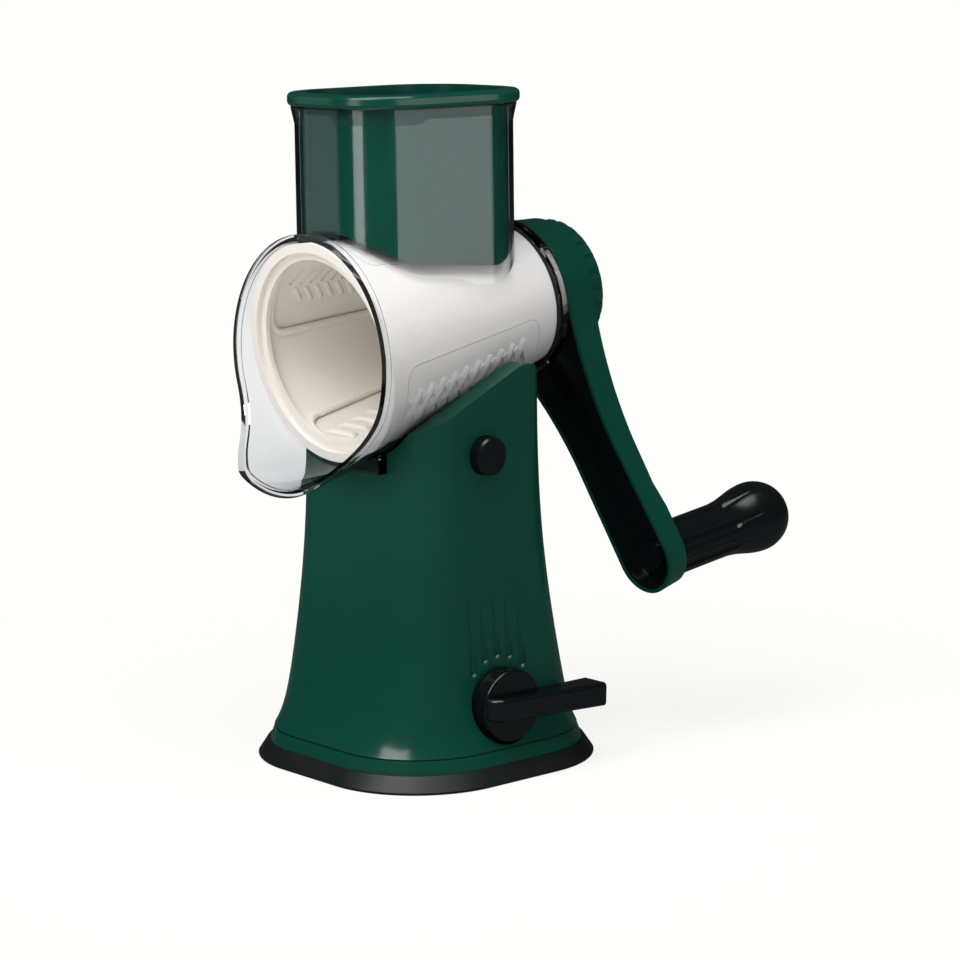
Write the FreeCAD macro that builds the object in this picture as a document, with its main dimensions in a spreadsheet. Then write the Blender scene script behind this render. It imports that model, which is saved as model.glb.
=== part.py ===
import FreeCAD, Part
import math
import os
import Sketcher
from FreeCAD import Placement, Rotation, Vector

# Rotary drum shredder with a suction base, a tilted conical drum and a side crank.
# Millimetres. Z is up, the mouth faces -Y, the crank is at +Y, the lever is on the +X side.
# The origin is the centre of the face that rests on the table.

# Driving dimensions

SIZES = [
    ("base_width", 125.0, "rubber base ring, side to side"),
    ("base_depth", 125.0, "rubber base ring, front to back"),
    ("base_corner", 44.4, "corner radius of the base ring"),
    ("ring_height", 7.0, "height of the base ring"),
    ("ring_band", 9.0, "breadth of the base ring at the table"),
    ("ring_lean", 3.9, "ring's sides lean in by this over its height"),
    ("ring_round", 1.0, "rounding of the ring's lower outer edge"),
    ("foot_inset", 4.6, "tower's plinth behind the ring's outer edge"),
    ("plinth_height", 5.4, "leaning foot of the tower above the ring"),
    ("plinth_lean", 2.0, "plinth leans in by this over its height"),
    ("plinth_corner", 40.6, "corner radius of the plinth's lower edge"),
    ("foot_line", 0.6, "height and depth of the line above the plinth"),
    ("tower_half_width", 43.7, "tower's upper half width"),
    ("tower_half_depth", 33.3, "tower's upper half depth"),
    ("tower_corner", 15.0, "tower's upper corner radius"),
    ("tower_wall", 2.6, "tower wall"),
    ("flare_top", 150.0, "height where the flare of the tower begins"),
    ("flare_soft", 2.7, "exponent of the long flare"),
    ("flare_sharp", 18.0, "exponent of the short flare at the foot"),
    ("flare_share", 0.22, "share of the short flare"),
    ("flare_back", 0.65, "the flare stands back by this at half its width"),
    ("corner_sharp", 4.77, "exponent of the corner radius"),
    ("edge_height", 157.6, "tower's side edge above the table at mid depth"),
    ("edge_slope", 25.5, "slope of the tower's side edges, degrees"),
    ("edge_corner", 14.0, "rounding of the tower's top rear corner"),
    ("axis_height", 179.7, "drum axis above the table at mid depth"),
    ("axis_tilt", 8.0, "rise of the drum axis towards the crank, degrees"),
    ("drum_front_radius", 44.8, "drum's outer radius at the mouth"),
    ("drum_front", 52.0, "drum's mouth in front of the origin, along the axis"),
    ("drum_rear", 48.0, "drum's rear face behind the origin"),
    ("drum_taper", 8.6, "half angle of the drum, degrees"),
    ("drum_wall", 3.0, "drum wall"),
    ("rim_depth", 6.0, "length of the drum's thick front rim"),
    ("rim_thickness", 6.2, "thickness of that rim"),
    ("rim_step", 2.2, "step in the rim's face"),
    ("rear_wall", 3.4, "drum's rear wall"),
    ("window_front", 44.0, "front end of the windows before the origin"),
    ("window_rear", 37.0, "rear end of the windows behind the origin"),
    ("window_angle", 122.0, "width of a window, degrees"),
    ("window_middle", 114.0, "middle of the upper window, degrees from +X"),
    ("window_corner", 6.0, "corner radius of a window"),
    ("insert_wall", 2.0, "wall of an insert"),
    ("insert_gap", 0.25, "gap round an insert"),
    ("tooth_pitch", 7.0, "pitch of the coarse teeth"),
    ("tooth_count", 10.0, "coarse teeth in a row"),
    ("tooth_length", 13.0, "length of a coarse slot"),
    ("tooth_width", 2.8, "width of a coarse slot"),
    ("tooth_height", 0.7, "height of a coarse tooth"),
    ("slit_pitch", 4.9, "pitch of the fine slits"),
    ("slit_count", 14.0, "fine slits in a row"),
    ("slit_length", 9.0, "length of a fine slit"),
    ("slit_width", 1.4, "width of a fine slit"),
    ("slant", 28.0, "slant of slots and slits, degrees"),
    ("drum_gap", 1.0, "gap between drum and housing"),
    ("housing_wall", 1.8, "housing wall"),
    ("housing_rear", 52.4, "housing's rear face behind the origin"),
    ("housing_rear_wall", 3.0, "housing's rear wall"),
    ("collar_length", 4.2, "length of the housing's rear bead"),
    ("collar_rise", 1.1, "rise of the housing's rear bead"),
    ("mouth_cut", 58.0, "upper mouth edge in front of the origin"),
    ("scoop_reach", 75.0, "scoop's lip in front of the origin"),
    ("scoop_level", 121.8, "height of the scoop's lip"),
    ("scoop_bend", 156.1, "height where the mouth edge starts forward"),
    ("scoop_angle", 39.6, "slope of the scoop's edge, degrees"),
    ("scoop_lip_radius", 5.3, "bend of the edge above the lip"),
    ("scoop_radius", 49.85, "scoop's outer radius at its lip"),
    ("lip_bead", 3.0, "width of the bead round the mouth"),
    ("lip_rise", 0.9, "rise of the bead round the mouth"),
    ("hopper_half_width", 33.6, "hopper's outer half width"),
    ("hopper_half_depth", 43.1, "hopper's outer half depth"),
    ("hopper_corner", 26.0, "hopper's outer corner radius"),
    ("hopper_wall", 1.8, "hopper wall"),
    ("hopper_back", 6.3, "hopper's middle in front of the origin"),
    ("hopper_top", 269.2, "height of the hopper's rim"),
    ("hopper_flare", 1.5, "flare of the rim"),
    ("flare_height", 7.0, "height of that flare"),
    ("foot_half_width", 17.9, "half width of the housing's foot"),
    ("foot_front", 37.0, "front of the housing's foot before the origin"),
    ("foot_rear", 14.0, "rear of the housing's foot behind the origin"),
    ("foot_gap", 0.6, "gap round the foot in its socket"),
    ("foot_wall", 2.2, "wall of the foot and of its socket"),
    ("notch_floor", 123.8, "height of the socket's floor"),
    ("cradle_gap", 0.6, "gap between the tower's cradle and the housing"),
    ("pusher_gap", 0.4, "gap between pusher and hopper"),
    ("pusher_wall", 2.4, "pusher wall"),
    ("pusher_floor", 3.0, "pusher floor"),
    ("pusher_lift", 4.5, "pusher's floor above the drum"),
    ("lid_half_width", 36.3, "half width of the pusher's lid"),
    ("lid_half_depth", 45.8, "half depth of the pusher's lid"),
    ("lid_corner", 28.6, "corner radius of the lid"),
    ("lid_height", 5.5, "height of the lid"),
    ("lid_round", 2.0, "rounding of the lid's edges"),
    ("seat_gap", 0.3, "small gap between pieces that rest on each other"),
    ("bush_wall", 1.9, "wall of the rear bush"),
    ("bush_flange", 1.6, "flange of the rear bush"),
    ("neck_radius", 12.0, "radius of the drum's neck"),
    ("neck_flange", 18.0, "radius of the neck's flange"),
    ("neck_flange_height", 3.0, "thickness of the neck's flange"),
    ("running_gap", 0.05, "radial gap of a turning fit"),
    ("press_gap", 0.02, "radial gap of a pressed fit"),
    ("bolt_radius", 3.0, "radius of the hub bolt"),
    ("bolt_head_radius", 5.5, "radius of the bolt's head"),
    ("bolt_head_height", 3.2, "height of the bolt's head"),
    ("crank_front", 55.0, "crank's front face behind the origin"),
    ("crank_lean", 5.7, "crank's front face moves back by this at the handle"),
    ("crank_rear", 70.5, "crank's rear face at the hub"),
    ("crank_flat", 30.0, "the rear face is flat this far round the hub's centre"),
    ("crank_dip", 0.3, "the arm's rear face dips by this"),
    ("crank_dip_at", 95.0, "distance of the deepest dip from the hub"),
    ("crank_end_rise", 1.5, "the small end's rear face stands above the hub's"),
    ("crank_draft", 2.0, "the crank is smaller by this all round at its rear face"),
    ("crank_hub_radius", 31.0, "radius of the crank's hub"),
    ("crank_end_radius", 16.2, "radius of the crank's small end"),
    ("crank_waist", 14.8, "half width of the crank's waist"),
    ("crank_waist_at", 75.0, "distance of the waist from the hub"),
    ("crank_length", 122.2, "hub centre to handle centre"),
    ("crank_angle", -64.3, "crank at rest, degrees from +X"),
    ("crank_rim", 1.6, "side wall of the crank"),
    ("crank_back", 3.0, "rear wall of the crank"),
    ("crank_boss", 16.0, "radius of the boss in the hub"),
    ("liner_wall", 1.4, "wall of the black liner"),
    ("liner_inset", 0.3, "liner behind the crank's front edge"),
    ("nut_radius", 27.2, "radius of the scalloped hub nut"),
    ("nut_height", 8.0, "height of the hub nut"),
    ("nut_groove", 0.8, "groove between the nut and the crank"),
    ("scallop_count", 26.0, "scallops round the nut"),
    ("scallop_radius", 2.6, "radius of a scallop"),
    ("scallop_depth", 0.9, "depth of a scallop"),
    ("handle_length", 69.4, "grip with its end cap, from the crank's rear face"),
    ("neck_length", 33.0, "even neck of the grip, from the crank's rear face"),
    ("grip_radius", 12.0, "grip beside the crank"),
    ("bulge_radius", 15.2, "grip at its bulge"),
    ("flute_count", 8.0, "flutes round the grip"),
    ("flute_depth", 1.3, "depth of a flute along the neck"),
    ("flute_radius", 4.0, "radius of the cutter of a flute"),
    ("flute_end", 49.0, "end of a flute, from the crank's rear face"),
    ("cap_length", 15.2, "length of the grip's end cap"),
    ("pin_radius", 3.5, "radius of the handle pin"),
    ("pin_head_radius", 6.0, "radius of the pin's head"),
    ("pin_head_height", 2.6, "height of the pin's head"),
    ("washer_height", 1.2, "thickness of a washer"),
    ("lever_height", 30.0, "lever axis above the table"),
    ("lever_back", 1.6, "lever axis in front of the origin"),
    ("lever_tilt", -2.4, "lever at rest, degrees below level"),
    ("lever_face", 57.5, "outer face of the lever's disc"),
    ("lever_disc_radius", 14.8, "radius of the lever's disc"),
    ("well_radius", 16.2, "radius of the round recess"),
    ("well_floor", 48.3, "floor of the recess from the middle"),
    ("bar_length", 45.6, "lever bar from the axis to its end"),
    ("bar_outer", 63.5, "outer face of the lever bar"),
    ("bar_root", 53.6, "inner face of the bar at the disc"),
    ("bar_tip", 50.6, "inner face of the bar at its end"),
    ("bar_root_height", 9.4, "height of the bar at the disc"),
    ("bar_tip_height", 9.8, "height of the bar at its end"),
    ("shaft_radius", 4.0, "radius of the lever shaft"),
    ("cam_low", 7.0, "smallest radius of the cam"),
    ("cam_lift", 4.4, "rise of the cam over half a turn"),
    ("cam_thickness", 7.0, "thickness of the cam"),
    ("yoke_gap", 0.5, "gap round the cam in its yoke"),
    ("yoke_wall", 3.6, "wall of the yoke"),
    ("stem_radius", 5.0, "radius of the suction stem"),
    ("stem_disc", 12.0, "radius of the stem's disc"),
    ("stem_disc_height", 1.5, "thickness of the stem's disc"),
    ("stem_disc_floor", 0.5, "rubber under the stem's disc inside the boss"),
    ("handle_boss", 0.8, "flat boss on the crank where the grip's washer runs"),
    ("pad_radius", 51.0, "radius of the suction pad"),
    ("pad_thickness", 2.2, "thickness of the suction pad"),
    ("pad_boss", 17.0, "radius of the pad's boss"),
    ("pad_boss_height", 5.3, "height of the pad's boss"),
    ("plate_height", 10.0, "underside of the base plate above the table"),
    ("plate_thickness", 3.0, "base plate"),
    ("ear_thickness", 3.0, "bearing ears on the base plate"),
    ("ear_half_width", 8.0, "half width of a bearing ear"),
    ("screw_place", 38.0, "base screws from the middle, both ways"),
    ("screw_radius", 1.7, "radius of a base screw"),
    ("screw_head", 3.4, "radius of its head"),
    ("screw_length", 11.0, "length of a base screw"),
    ("screw_boss", 4.6, "radius of a screw boss"),
    ("button_height", 131.0, "button above the table"),
    ("button_back", 3.5, "button in front of the origin"),
    ("button_radius", 7.7, "radius of the button"),
    ("button_proud", 5.2, "button in front of the tower's side"),
    ("button_travel", 4.0, "travel of the button"),
    ("button_flange", 10.0, "radius of the button's flange"),
    ("button_chamfer", 0.8, "edge of the button"),
    ("latch_height", 3.0, "thickness of the latch frame"),
    ("latch_bar", 4.0, "breadth of the latch frame"),
    ("latch_bite", 1.7, "latch tooth inside the foot's wall"),
    ("latch_half_width", 4.0, "half width of the latch tooth"),
    ("spring_radius", 3.4, "outer radius of the button spring"),
    ("spring_wire", 0.7, "wire of the button spring"),
    ("groove_count", 5.0, "tapered grooves above the lever"),
    ("groove_pitch", 6.5, "pitch of the grooves"),
    ("groove_width", 4.3, "width of a groove at its foot"),
    ("groove_depth", 2.0, "depth of a groove at its foot"),
    ("groove_top", 81.0, "height where the middle groove fades out"),
]

doc = FreeCAD.newDocument("shredder")
sheet = doc.addObject("Spreadsheet::Sheet", "Sizes")
for row, (alias, number, note) in enumerate(SIZES, start=1):
    sheet.set(f"A{row}", alias)
    sheet.set(f"B{row}", str(number))
    sheet.set(f"C{row}", note)
    sheet.setAlias(f"B{row}", alias)
doc.recompute()


def size(alias):
    """A driving dimension, read from the sheet."""
    return float(getattr(sheet, alias))


nodes = []


def keep(thing, label):
    """Give a finished sub-part its name and put it on the list that is written out."""
    thing.Label = label
    nodes.append(thing)
    return thing


def feature(label, shape, placement=None):
    """A sub-part whose shape was worked out with the geometry functions."""
    thing = doc.addObject("Part::Feature", label)
    thing.Shape = shape
    if placement is not None:
        thing.Placement = placement
    return keep(thing, label)


# Frames
# The drum frame has Y along the drum axis, towards the crank, and Z square to it, upwards.
# A turned piece is drawn with X as its radius and Y along its axis.

TILT = size("axis_tilt")
DRUM_FRAME = Placement(Vector(0, 0, size("axis_height")), Rotation(Vector(1, 0, 0), TILT))
ALONG_X = Rotation(Vector(0, 0, 1), -90)
ALONG_Z = Rotation(Vector(1, 0, 0), 90)
UP_TO_AXIS = Rotation(Vector(1, 0, 0), -90)


# Bodies drawn as sketches

def origin_plane(body, role):
    """One of a body's own origin planes."""
    return next(item for item in body.Origin.OriginFeatures if item.Role == role)


def tie(sketch, kind, point, formula):
    """Hold one coordinate of a sketch point at a formula of the sheet."""
    if formula == "0":
        axis = -2 if kind == "DistanceX" else -1
        sketch.addConstraint(Sketcher.Constraint("PointOnObject", point, 1, axis))
        return
    place = sketch.getPoint(point, 1)
    now = place.x if kind == "DistanceX" else place.y
    index = sketch.addConstraint(Sketcher.Constraint(kind, -1, 1, point, 1, now))
    sketch.setExpression(f"Constraints[{index}]", formula)


def outline(body, name, role, corners):
    """A closed sketch of straight sides, each corner tied to two formulas."""
    sketch = body.newObject("Sketcher::SketchObject", name)
    sketch.AttachmentSupport = [(origin_plane(body, role), "")]
    sketch.MapMode = "FlatFace"
    count = len(corners)
    turn = 2 * math.pi / count
    start = [Vector(10 + 5 * math.cos(turn * i), 5 * math.sin(turn * i), 0) for i in range(count)]
    for i in range(count):
        sketch.addGeometry(Part.LineSegment(start[i], start[(i + 1) % count]))
    for i in range(count):
        sketch.addConstraint(Sketcher.Constraint("Coincident", i, 2, (i + 1) % count, 1))
    for i, (across, up) in enumerate(corners):
        tie(sketch, "DistanceX", i, across)
        tie(sketch, "DistanceY", i, up)
    return sketch


def new_body(label, placement=None):
    """An empty body at its place."""
    body = doc.addObject("PartDesign::Body", label)
    if placement is not None:
        body.Placement = placement
    return body


def turned(label, corners, placement):
    """A body of revolution: corners are (radius, distance along the axis) formulas."""
    body = new_body(label, placement)
    sketch = outline(body, label + "_profile", "XY_Plane", corners)
    round_about = body.newObject("PartDesign::Revolution", label + "_turn")
    round_about.Profile = sketch
    round_about.ReferenceAxis = (sketch, ["V_Axis"])
    round_about.Angle = 360.0
    sketch.Visibility = False
    doc.recompute()
    return body


def edges_where(thing, test):
    """Names of the edges that pass a test."""
    return [f"Edge{i}" for i, edge in enumerate(thing.Shape.Edges, start=1) if test(edge)]


def round_edges(body, base, names, formula, label):
    """A fillet of a body's edges, its radius bound to the sheet."""
    fillet = body.newObject("PartDesign::Fillet", label)
    fillet.Base = (base, names)
    fillet.Radius = 0.1
    fillet.setExpression("Radius", formula)
    doc.recompute()
    return fillet


def bevel_edges(body, base, names, formula, label):
    """A chamfer of a body's edges, its size bound to the sheet."""
    chamfer = body.newObject("PartDesign::Chamfer", label)
    chamfer.Base = (base, names)
    chamfer.Size = 0.1
    chamfer.setExpression("Size", formula)
    doc.recompute()
    return chamfer


def is_circle_at(radius, along):
    """A test for a full circle of a given radius at a given place along local Y."""
    def test(edge):
        curve = edge.Curve
        if not isinstance(curve, Part.Circle):
            return False
        return abs(curve.Radius - radius) < 1e-4 and abs(curve.Center.y - along) < 1e-4
    return test


# Shapes worked out by formula

def rounded_rectangle(half_x, half_y, corner, height, middle_y=0.0):
    """A closed wire of four straight sides and four quarter arcs at one height."""
    pieces = []
    quarter = corner * math.sqrt(0.5)
    for turn in range(4):
        sign_x, sign_y = ((1, 1), (-1, 1), (-1, -1), (1, -1))[turn]
        centre = Vector(sign_x * (half_x - corner), middle_y + sign_y * (half_y - corner), height)
        side = Vector(sign_x * corner, 0, 0)
        end = Vector(0, sign_y * corner, 0)
        first, last = (side, end) if turn % 2 == 0 else (end, side)
        middle = centre + Vector(sign_x * quarter, sign_y * quarter, 0)
        pieces.append(Part.Arc(centre + first, middle, centre + last).toShape())
    edges = []
    for i, arc in enumerate(pieces):
        following = pieces[(i + 1) % 4]
        gap_start = arc.lastVertex(True).Point
        gap_end = following.firstVertex(True).Point
        edges.append(arc)
        edges.append(Part.LineSegment(gap_start, gap_end).toShape())
    return Part.Wire(edges)


def rounded_prism(half_x, half_y, corner, low, high, middle_y=0.0):
    """An upright prism on a rounded rectangle."""
    wire = rounded_rectangle(half_x, half_y, corner, low, middle_y)
    return Part.Face(wire).extrude(Vector(0, 0, high - low))


def side_prism(points_and_edges, half_width):
    """A prism along X on a closed outline in the YZ plane."""
    wire = Part.Wire(points_and_edges)
    wire.translate(Vector(-half_width, 0, 0))
    return Part.Face(wire).extrude(Vector(2 * half_width, 0, 0))


def side_point(back, height):
    """A point of the YZ plane."""
    return Vector(0, back, height)


def block(low, high):
    """A box between two corners."""
    low, high = Vector(*low), Vector(*high)
    span = high - low
    return Part.makeBox(span.x, span.y, span.z, low)


def drum_radius(along, offset=0.0):
    """Outer radius of the drum's cone at a place along the axis, plus an offset."""
    slope = math.tan(math.radians(size("drum_taper")))
    return size("drum_front_radius") - slope * (along + size("drum_front")) + offset


def cone_about_axis(front, rear, offset):
    """A solid cone round the drum axis in the object's own frame."""
    cone = Part.makeCone(drum_radius(front, offset), drum_radius(rear, offset), rear - front)
    cone.Placement = DRUM_FRAME.multiply(Placement(Vector(0, front, 0), UP_TO_AXIS))
    return cone


def disc_about_axis(radius, front, rear):
    """A solid cylinder round the drum axis in the object's own frame."""
    disc = Part.makeCylinder(radius, rear - front)
    disc.Placement = DRUM_FRAME.multiply(Placement(Vector(0, front, 0), UP_TO_AXIS))
    return disc


def rod_along_x(radius, low, high, back, height):
    """A solid cylinder along X."""
    return Part.makeCylinder(radius, high - low, Vector(low, back, height), Vector(1, 0, 0))


HOUSING_INSIDE = size("drum_gap")
HOUSING_OUTSIDE = size("drum_gap") + size("housing_wall")
REACH = size("base_width") + size("base_depth")
FOOT_TOP = size("ring_height") + size("plinth_height") + size("foot_line")
FOOT_HALF_X = size("base_width") / 2 - size("foot_inset") - size("plinth_lean")
FOOT_HALF_Y = size("base_depth") / 2 - size("foot_inset") - size("plinth_lean")
FOOT_CORNER = size("plinth_corner") - size("plinth_lean")

# Tower

def tower_section(height, inset):
    """The tower's outline at a height: a long soft flare and a short sharp one at the foot."""
    down = max(0.0, (size("flare_top") - height) / (size("flare_top") - FOOT_TOP))
    share = size("flare_share")
    short = share * down ** size("flare_sharp")
    flare = (1 - share) * down ** size("flare_soft") + short
    rounding = (1 - share) * down ** size("corner_sharp") + short
    half_x = size("tower_half_width") + (FOOT_HALF_X - size("tower_half_width")) * flare - inset
    half_y = size("tower_half_depth") + (FOOT_HALF_Y - size("tower_half_depth")) * flare - inset
    corner = size("tower_corner") + (FOOT_CORNER - size("tower_corner")) * rounding - inset
    middle_y = size("flare_back") * 4 * flare * (1 - flare)
    return rounded_rectangle(half_x, half_y, corner, height, middle_y)


def tower_loft(inset, top):
    """A smooth solid through the tower's sections, closer together near the foot."""
    steps = 12
    span = top - FOOT_TOP
    heights = [FOOT_TOP + span * (i / steps) ** 2 for i in range(steps + 1)]
    return Part.makeLoft([tower_section(height, inset) for height in heights], True, False)


def above_side_edges(lower):
    """The space above the tower's sloping side edges and behind its rounded rear corner."""
    slope = math.radians(size("edge_slope"))
    radius = size("edge_corner")
    rear = size("tower_half_depth") + size("seat_gap") - lower
    drop = lower / math.cos(slope)

    def edge_line(back):
        return size("edge_height") - drop + math.tan(slope) * back

    centre_y = rear - radius
    tangent = side_point(centre_y - radius * math.sin(slope), 0)
    tangent.z = edge_line(tangent.y)
    centre_z = tangent.z - radius * math.cos(slope)
    half = (math.pi / 2 + slope) / 2
    middle = side_point(centre_y + radius * math.cos(half), centre_z + radius * math.sin(half))
    end = side_point(rear, centre_z)
    front_low = side_point(-REACH, edge_line(-REACH))
    front_high = side_point(-REACH, edge_line(0) + REACH)
    rear_high = side_point(REACH, edge_line(0) + REACH)
    rear_low = side_point(REACH, centre_z)
    edges = [
        Part.LineSegment(front_low, tangent).toShape(),
        Part.Arc(tangent, middle, end).toShape(),
        Part.LineSegment(end, rear_low).toShape(),
        Part.LineSegment(rear_low, rear_high).toShape(),
        Part.LineSegment(rear_high, front_high).toShape(),
        Part.LineSegment(front_high, front_low).toShape(),
    ]
    return side_prism(edges, REACH)


SOCKET_HALF = size("foot_half_width") + size("foot_gap")
SOCKET_REAR = size("foot_rear") + size("foot_gap")
TRAY_HALF = SOCKET_HALF + size("foot_wall")
TRAY_REAR = SOCKET_REAR + size("foot_wall")
LATCH_LOW = size("button_height") - size("latch_height") / 2
LATCH_HIGH = LATCH_LOW + size("latch_height")
LEVER_Y = -size("lever_back")
BUTTON_Y = -size("button_back")
PLATE_LOW = size("plate_height")
PLATE_HIGH = PLATE_LOW + size("plate_thickness")
WALL_INSIDE = size("tower_half_width") - size("tower_wall")
TOWER_TOP = size("axis_height")


def screw_places():
    """The four places of the base screws."""
    far = size("screw_place")
    return [(x, y) for x in (-far, far) for y in (-far, far)]


def groove(index):
    """One tapered groove: a slender cone whose wide end stands on the lever's recess."""
    middle = (size("groove_count") - 1) / 2
    back = LEVER_Y + (index - middle) * size("groove_pitch")
    foot_circle = size("well_radius") + 1.6
    across = back - LEVER_Y
    foot = size("lever_height") + math.sqrt(max(1.0, foot_circle ** 2 - across ** 2))
    top = size("groove_top") - (across / foot_circle) ** 2 * 2.5
    radius = size("groove_width") / 2
    wall_foot = wall_half_width(foot + radius) + radius - size("groove_depth")
    wall_top = wall_half_width(top)
    start = Vector(wall_foot, back, foot + radius)
    end = Vector(wall_top + 0.05, back, top)
    cone = Part.makeCone(radius, 0.05, (end - start).Length, start, end - start)
    return cone.fuse(Part.makeSphere(radius, start))


def wall_half_width(height):
    """The tower's outer half width at a height."""
    box = tower_section(height, 0.0).BoundBox
    return box.XMax


def tower_shell():
    """The hollow tower with its cradle, socket, wells, bosses and grooves."""
    above = above_side_edges(0.0)
    above_inside = above_side_edges(size("tower_wall"))
    cradle = cone_about_axis(-REACH / 2, size("housing_rear"), HOUSING_OUTSIDE + size("cradle_gap"))
    deck = cone_about_axis(-REACH / 2, size("housing_rear"),
                           HOUSING_OUTSIDE + size("cradle_gap") + size("tower_wall"))
    wall = size("tower_wall")
    line = size("foot_line")
    lean = size("plinth_lean")
    plinth_top = size("ring_height") + size("plinth_height")
    plinth = Part.makeLoft([
        rounded_rectangle(FOOT_HALF_X + lean, FOOT_HALF_Y + lean, FOOT_CORNER + lean, size("ring_height")),
        rounded_rectangle(FOOT_HALF_X, FOOT_HALF_Y, FOOT_CORNER, plinth_top)], True, True)
    neck = rounded_prism(FOOT_HALF_X - line, FOOT_HALF_Y - line, FOOT_CORNER - line, plinth_top, FOOT_TOP)
    outside = tower_loft(0.0, TOWER_TOP).cut(above).cut(cradle)
    outside = outside.fuse([plinth, neck])
    hollow_foot = rounded_prism(FOOT_HALF_X - wall, FOOT_HALF_Y - wall, FOOT_CORNER - wall,
                                size("ring_height") - line, FOOT_TOP + line)
    hollow = tower_loft(wall, TOWER_TOP).cut(above_inside).cut(deck)
    tray = block((-TRAY_HALF, -size("foot_front"), size("notch_floor") - size("foot_wall")),
                 (TRAY_HALF, TRAY_REAR, size("axis_height")))
    ledge_low = LATCH_LOW - size("seat_gap") - size("latch_height")
    ledge = block((-size("button_flange"), TRAY_REAR, ledge_low),
                  (size("button_flange"), TRAY_REAR + size("latch_bar") + 2, LATCH_LOW - size("seat_gap")))
    well = rod_along_x(size("well_radius") + wall, size("well_floor") - wall, REACH, LEVER_Y,
                       size("lever_height"))
    inner_parts = [tray, ledge, well]
    for x, y in screw_places():
        boss = Part.makeCylinder(size("screw_boss"), size("screw_length") + 8, Vector(x, y, PLATE_HIGH))
        inner_parts.append(boss)
    solid = outside.cut(hollow.cut(inner_parts[0].fuse(inner_parts[1:])))
    solid = solid.cut(hollow_foot.cut(inner_parts[0].fuse(inner_parts[1:])))
    notch = block((-SOCKET_HALF, -REACH, size("notch_floor")), (SOCKET_HALF, SOCKET_REAR, TOWER_TOP))
    window_gap = 1.2
    latch_window = block((-TRAY_HALF - 1, BUTTON_Y - size("latch_half_width") - window_gap, LATCH_LOW - window_gap),
                         (-SOCKET_HALF + 1, BUTTON_Y + size("latch_half_width") + window_gap,
                          LATCH_HIGH + window_gap))
    recess = rod_along_x(size("well_radius"), size("well_floor"), REACH, LEVER_Y, size("lever_height"))
    shaft_hole = rod_along_x(size("shaft_radius") + size("running_gap"), size("well_floor") - 2 * wall, REACH,
                             LEVER_Y, size("lever_height"))
    button_hole = rod_along_x(size("button_radius") + size("seat_gap"), WALL_INSIDE - wall, REACH, BUTTON_Y,
                              size("button_height"))
    cuts = [notch, latch_window, recess, shaft_hole, button_hole]
    for x, y in screw_places():
        cuts.append(Part.makeCylinder(size("screw_radius"), size("screw_length"),
                                      Vector(x, y, PLATE_HIGH - size("plate_thickness"))))
    cuts.extend(groove(i) for i in range(int(size("groove_count"))))
    return solid.cut(cuts)


feature("tower_shell", tower_shell())

# Base ring: a rubber band under the foot

ring = new_body("base_ring")
half_wide = "Sizes.base_width / 2"
half_deep = "Sizes.base_depth / 2"
ring_outline = outline(ring, "ring_outline", "XY_Plane", [
    (half_wide, half_deep), ("-" + half_wide, half_deep),
    ("-" + half_wide, "-" + half_deep), (half_wide, "-" + half_deep)])
ring_pad = ring.newObject("PartDesign::Pad", "ring_pad")
ring_pad.Profile = ring_outline
ring_pad.setExpression("Length", "Sizes.ring_height")
doc.recompute()


def is_upright(edge):
    """A test for an edge from the lower face to the upper one."""
    return edge.BoundBox.ZLength > size("ring_height") / 2


bore_wide = "(Sizes.base_width / 2 - Sizes.ring_band)"
bore_deep = "(Sizes.base_depth / 2 - Sizes.ring_band)"
ring_bore = outline(ring, "ring_bore", "XY_Plane", [
    (bore_wide, bore_deep), ("-" + bore_wide, bore_deep),
    ("-" + bore_wide, "-" + bore_deep), (bore_wide, "-" + bore_deep)])
ring_pocket = ring.newObject("PartDesign::Pocket", "ring_pocket")
ring_pocket.Profile = ring_bore
ring_pocket.Type = 1
ring_pocket.Reversed = True
doc.recompute()


def is_bore_corner(edge):
    """A test for an upright edge at a corner of the bore."""
    bore = size("base_width") / 2 - size("ring_band") + 0.1
    return is_upright(edge) and max(abs(edge.BoundBox.XMax), abs(edge.BoundBox.XMin)) < bore


def is_outer_corner(edge):
    """A test for an upright edge at a corner of the block."""
    return is_upright(edge) and not is_bore_corner(edge)


def is_rim_at(height):
    """A test for the edges round the outside at one height."""
    def test(edge):
        box = edge.BoundBox
        reach = max(abs(box.XMin), abs(box.XMax), abs(box.YMin), abs(box.YMax))
        is_outside = reach > size("base_width") / 2 - size("ring_band") + 0.1
        return is_outside and abs(box.ZMin - height) < 1e-6 and box.ZLength < 1e-6
    return test


ring_bore_corners = round_edges(ring, ring_pocket, edges_where(ring_pocket, is_bore_corner),
                                "Sizes.base_corner - Sizes.ring_band", "ring_bore_corners")
ring_corners = round_edges(ring, ring_bore_corners, edges_where(ring_bore_corners, is_outer_corner),
                           "Sizes.base_corner", "ring_corners")
ring_foot = round_edges(ring, ring_corners, edges_where(ring_corners, is_rim_at(0.0)), "Sizes.ring_round",
                        "ring_foot")
ring_side = bevel_edges(ring, ring_foot, edges_where(ring_foot, is_rim_at(size("ring_height"))),
                        "Sizes.ring_lean", "ring_side")
ring_side.ChamferType = "Two distances"
ring_side.setExpression("Size2", "Sizes.ring_height - Sizes.ring_round - 0.2")
ring_side.FlipDirection = True
doc.recompute()
keep(ring, "base_ring")

# Base plate with two bearing ears, and its screws

EAR_INSIDE = size("cam_thickness") / 2 + size("yoke_gap") + 1.5


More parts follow.
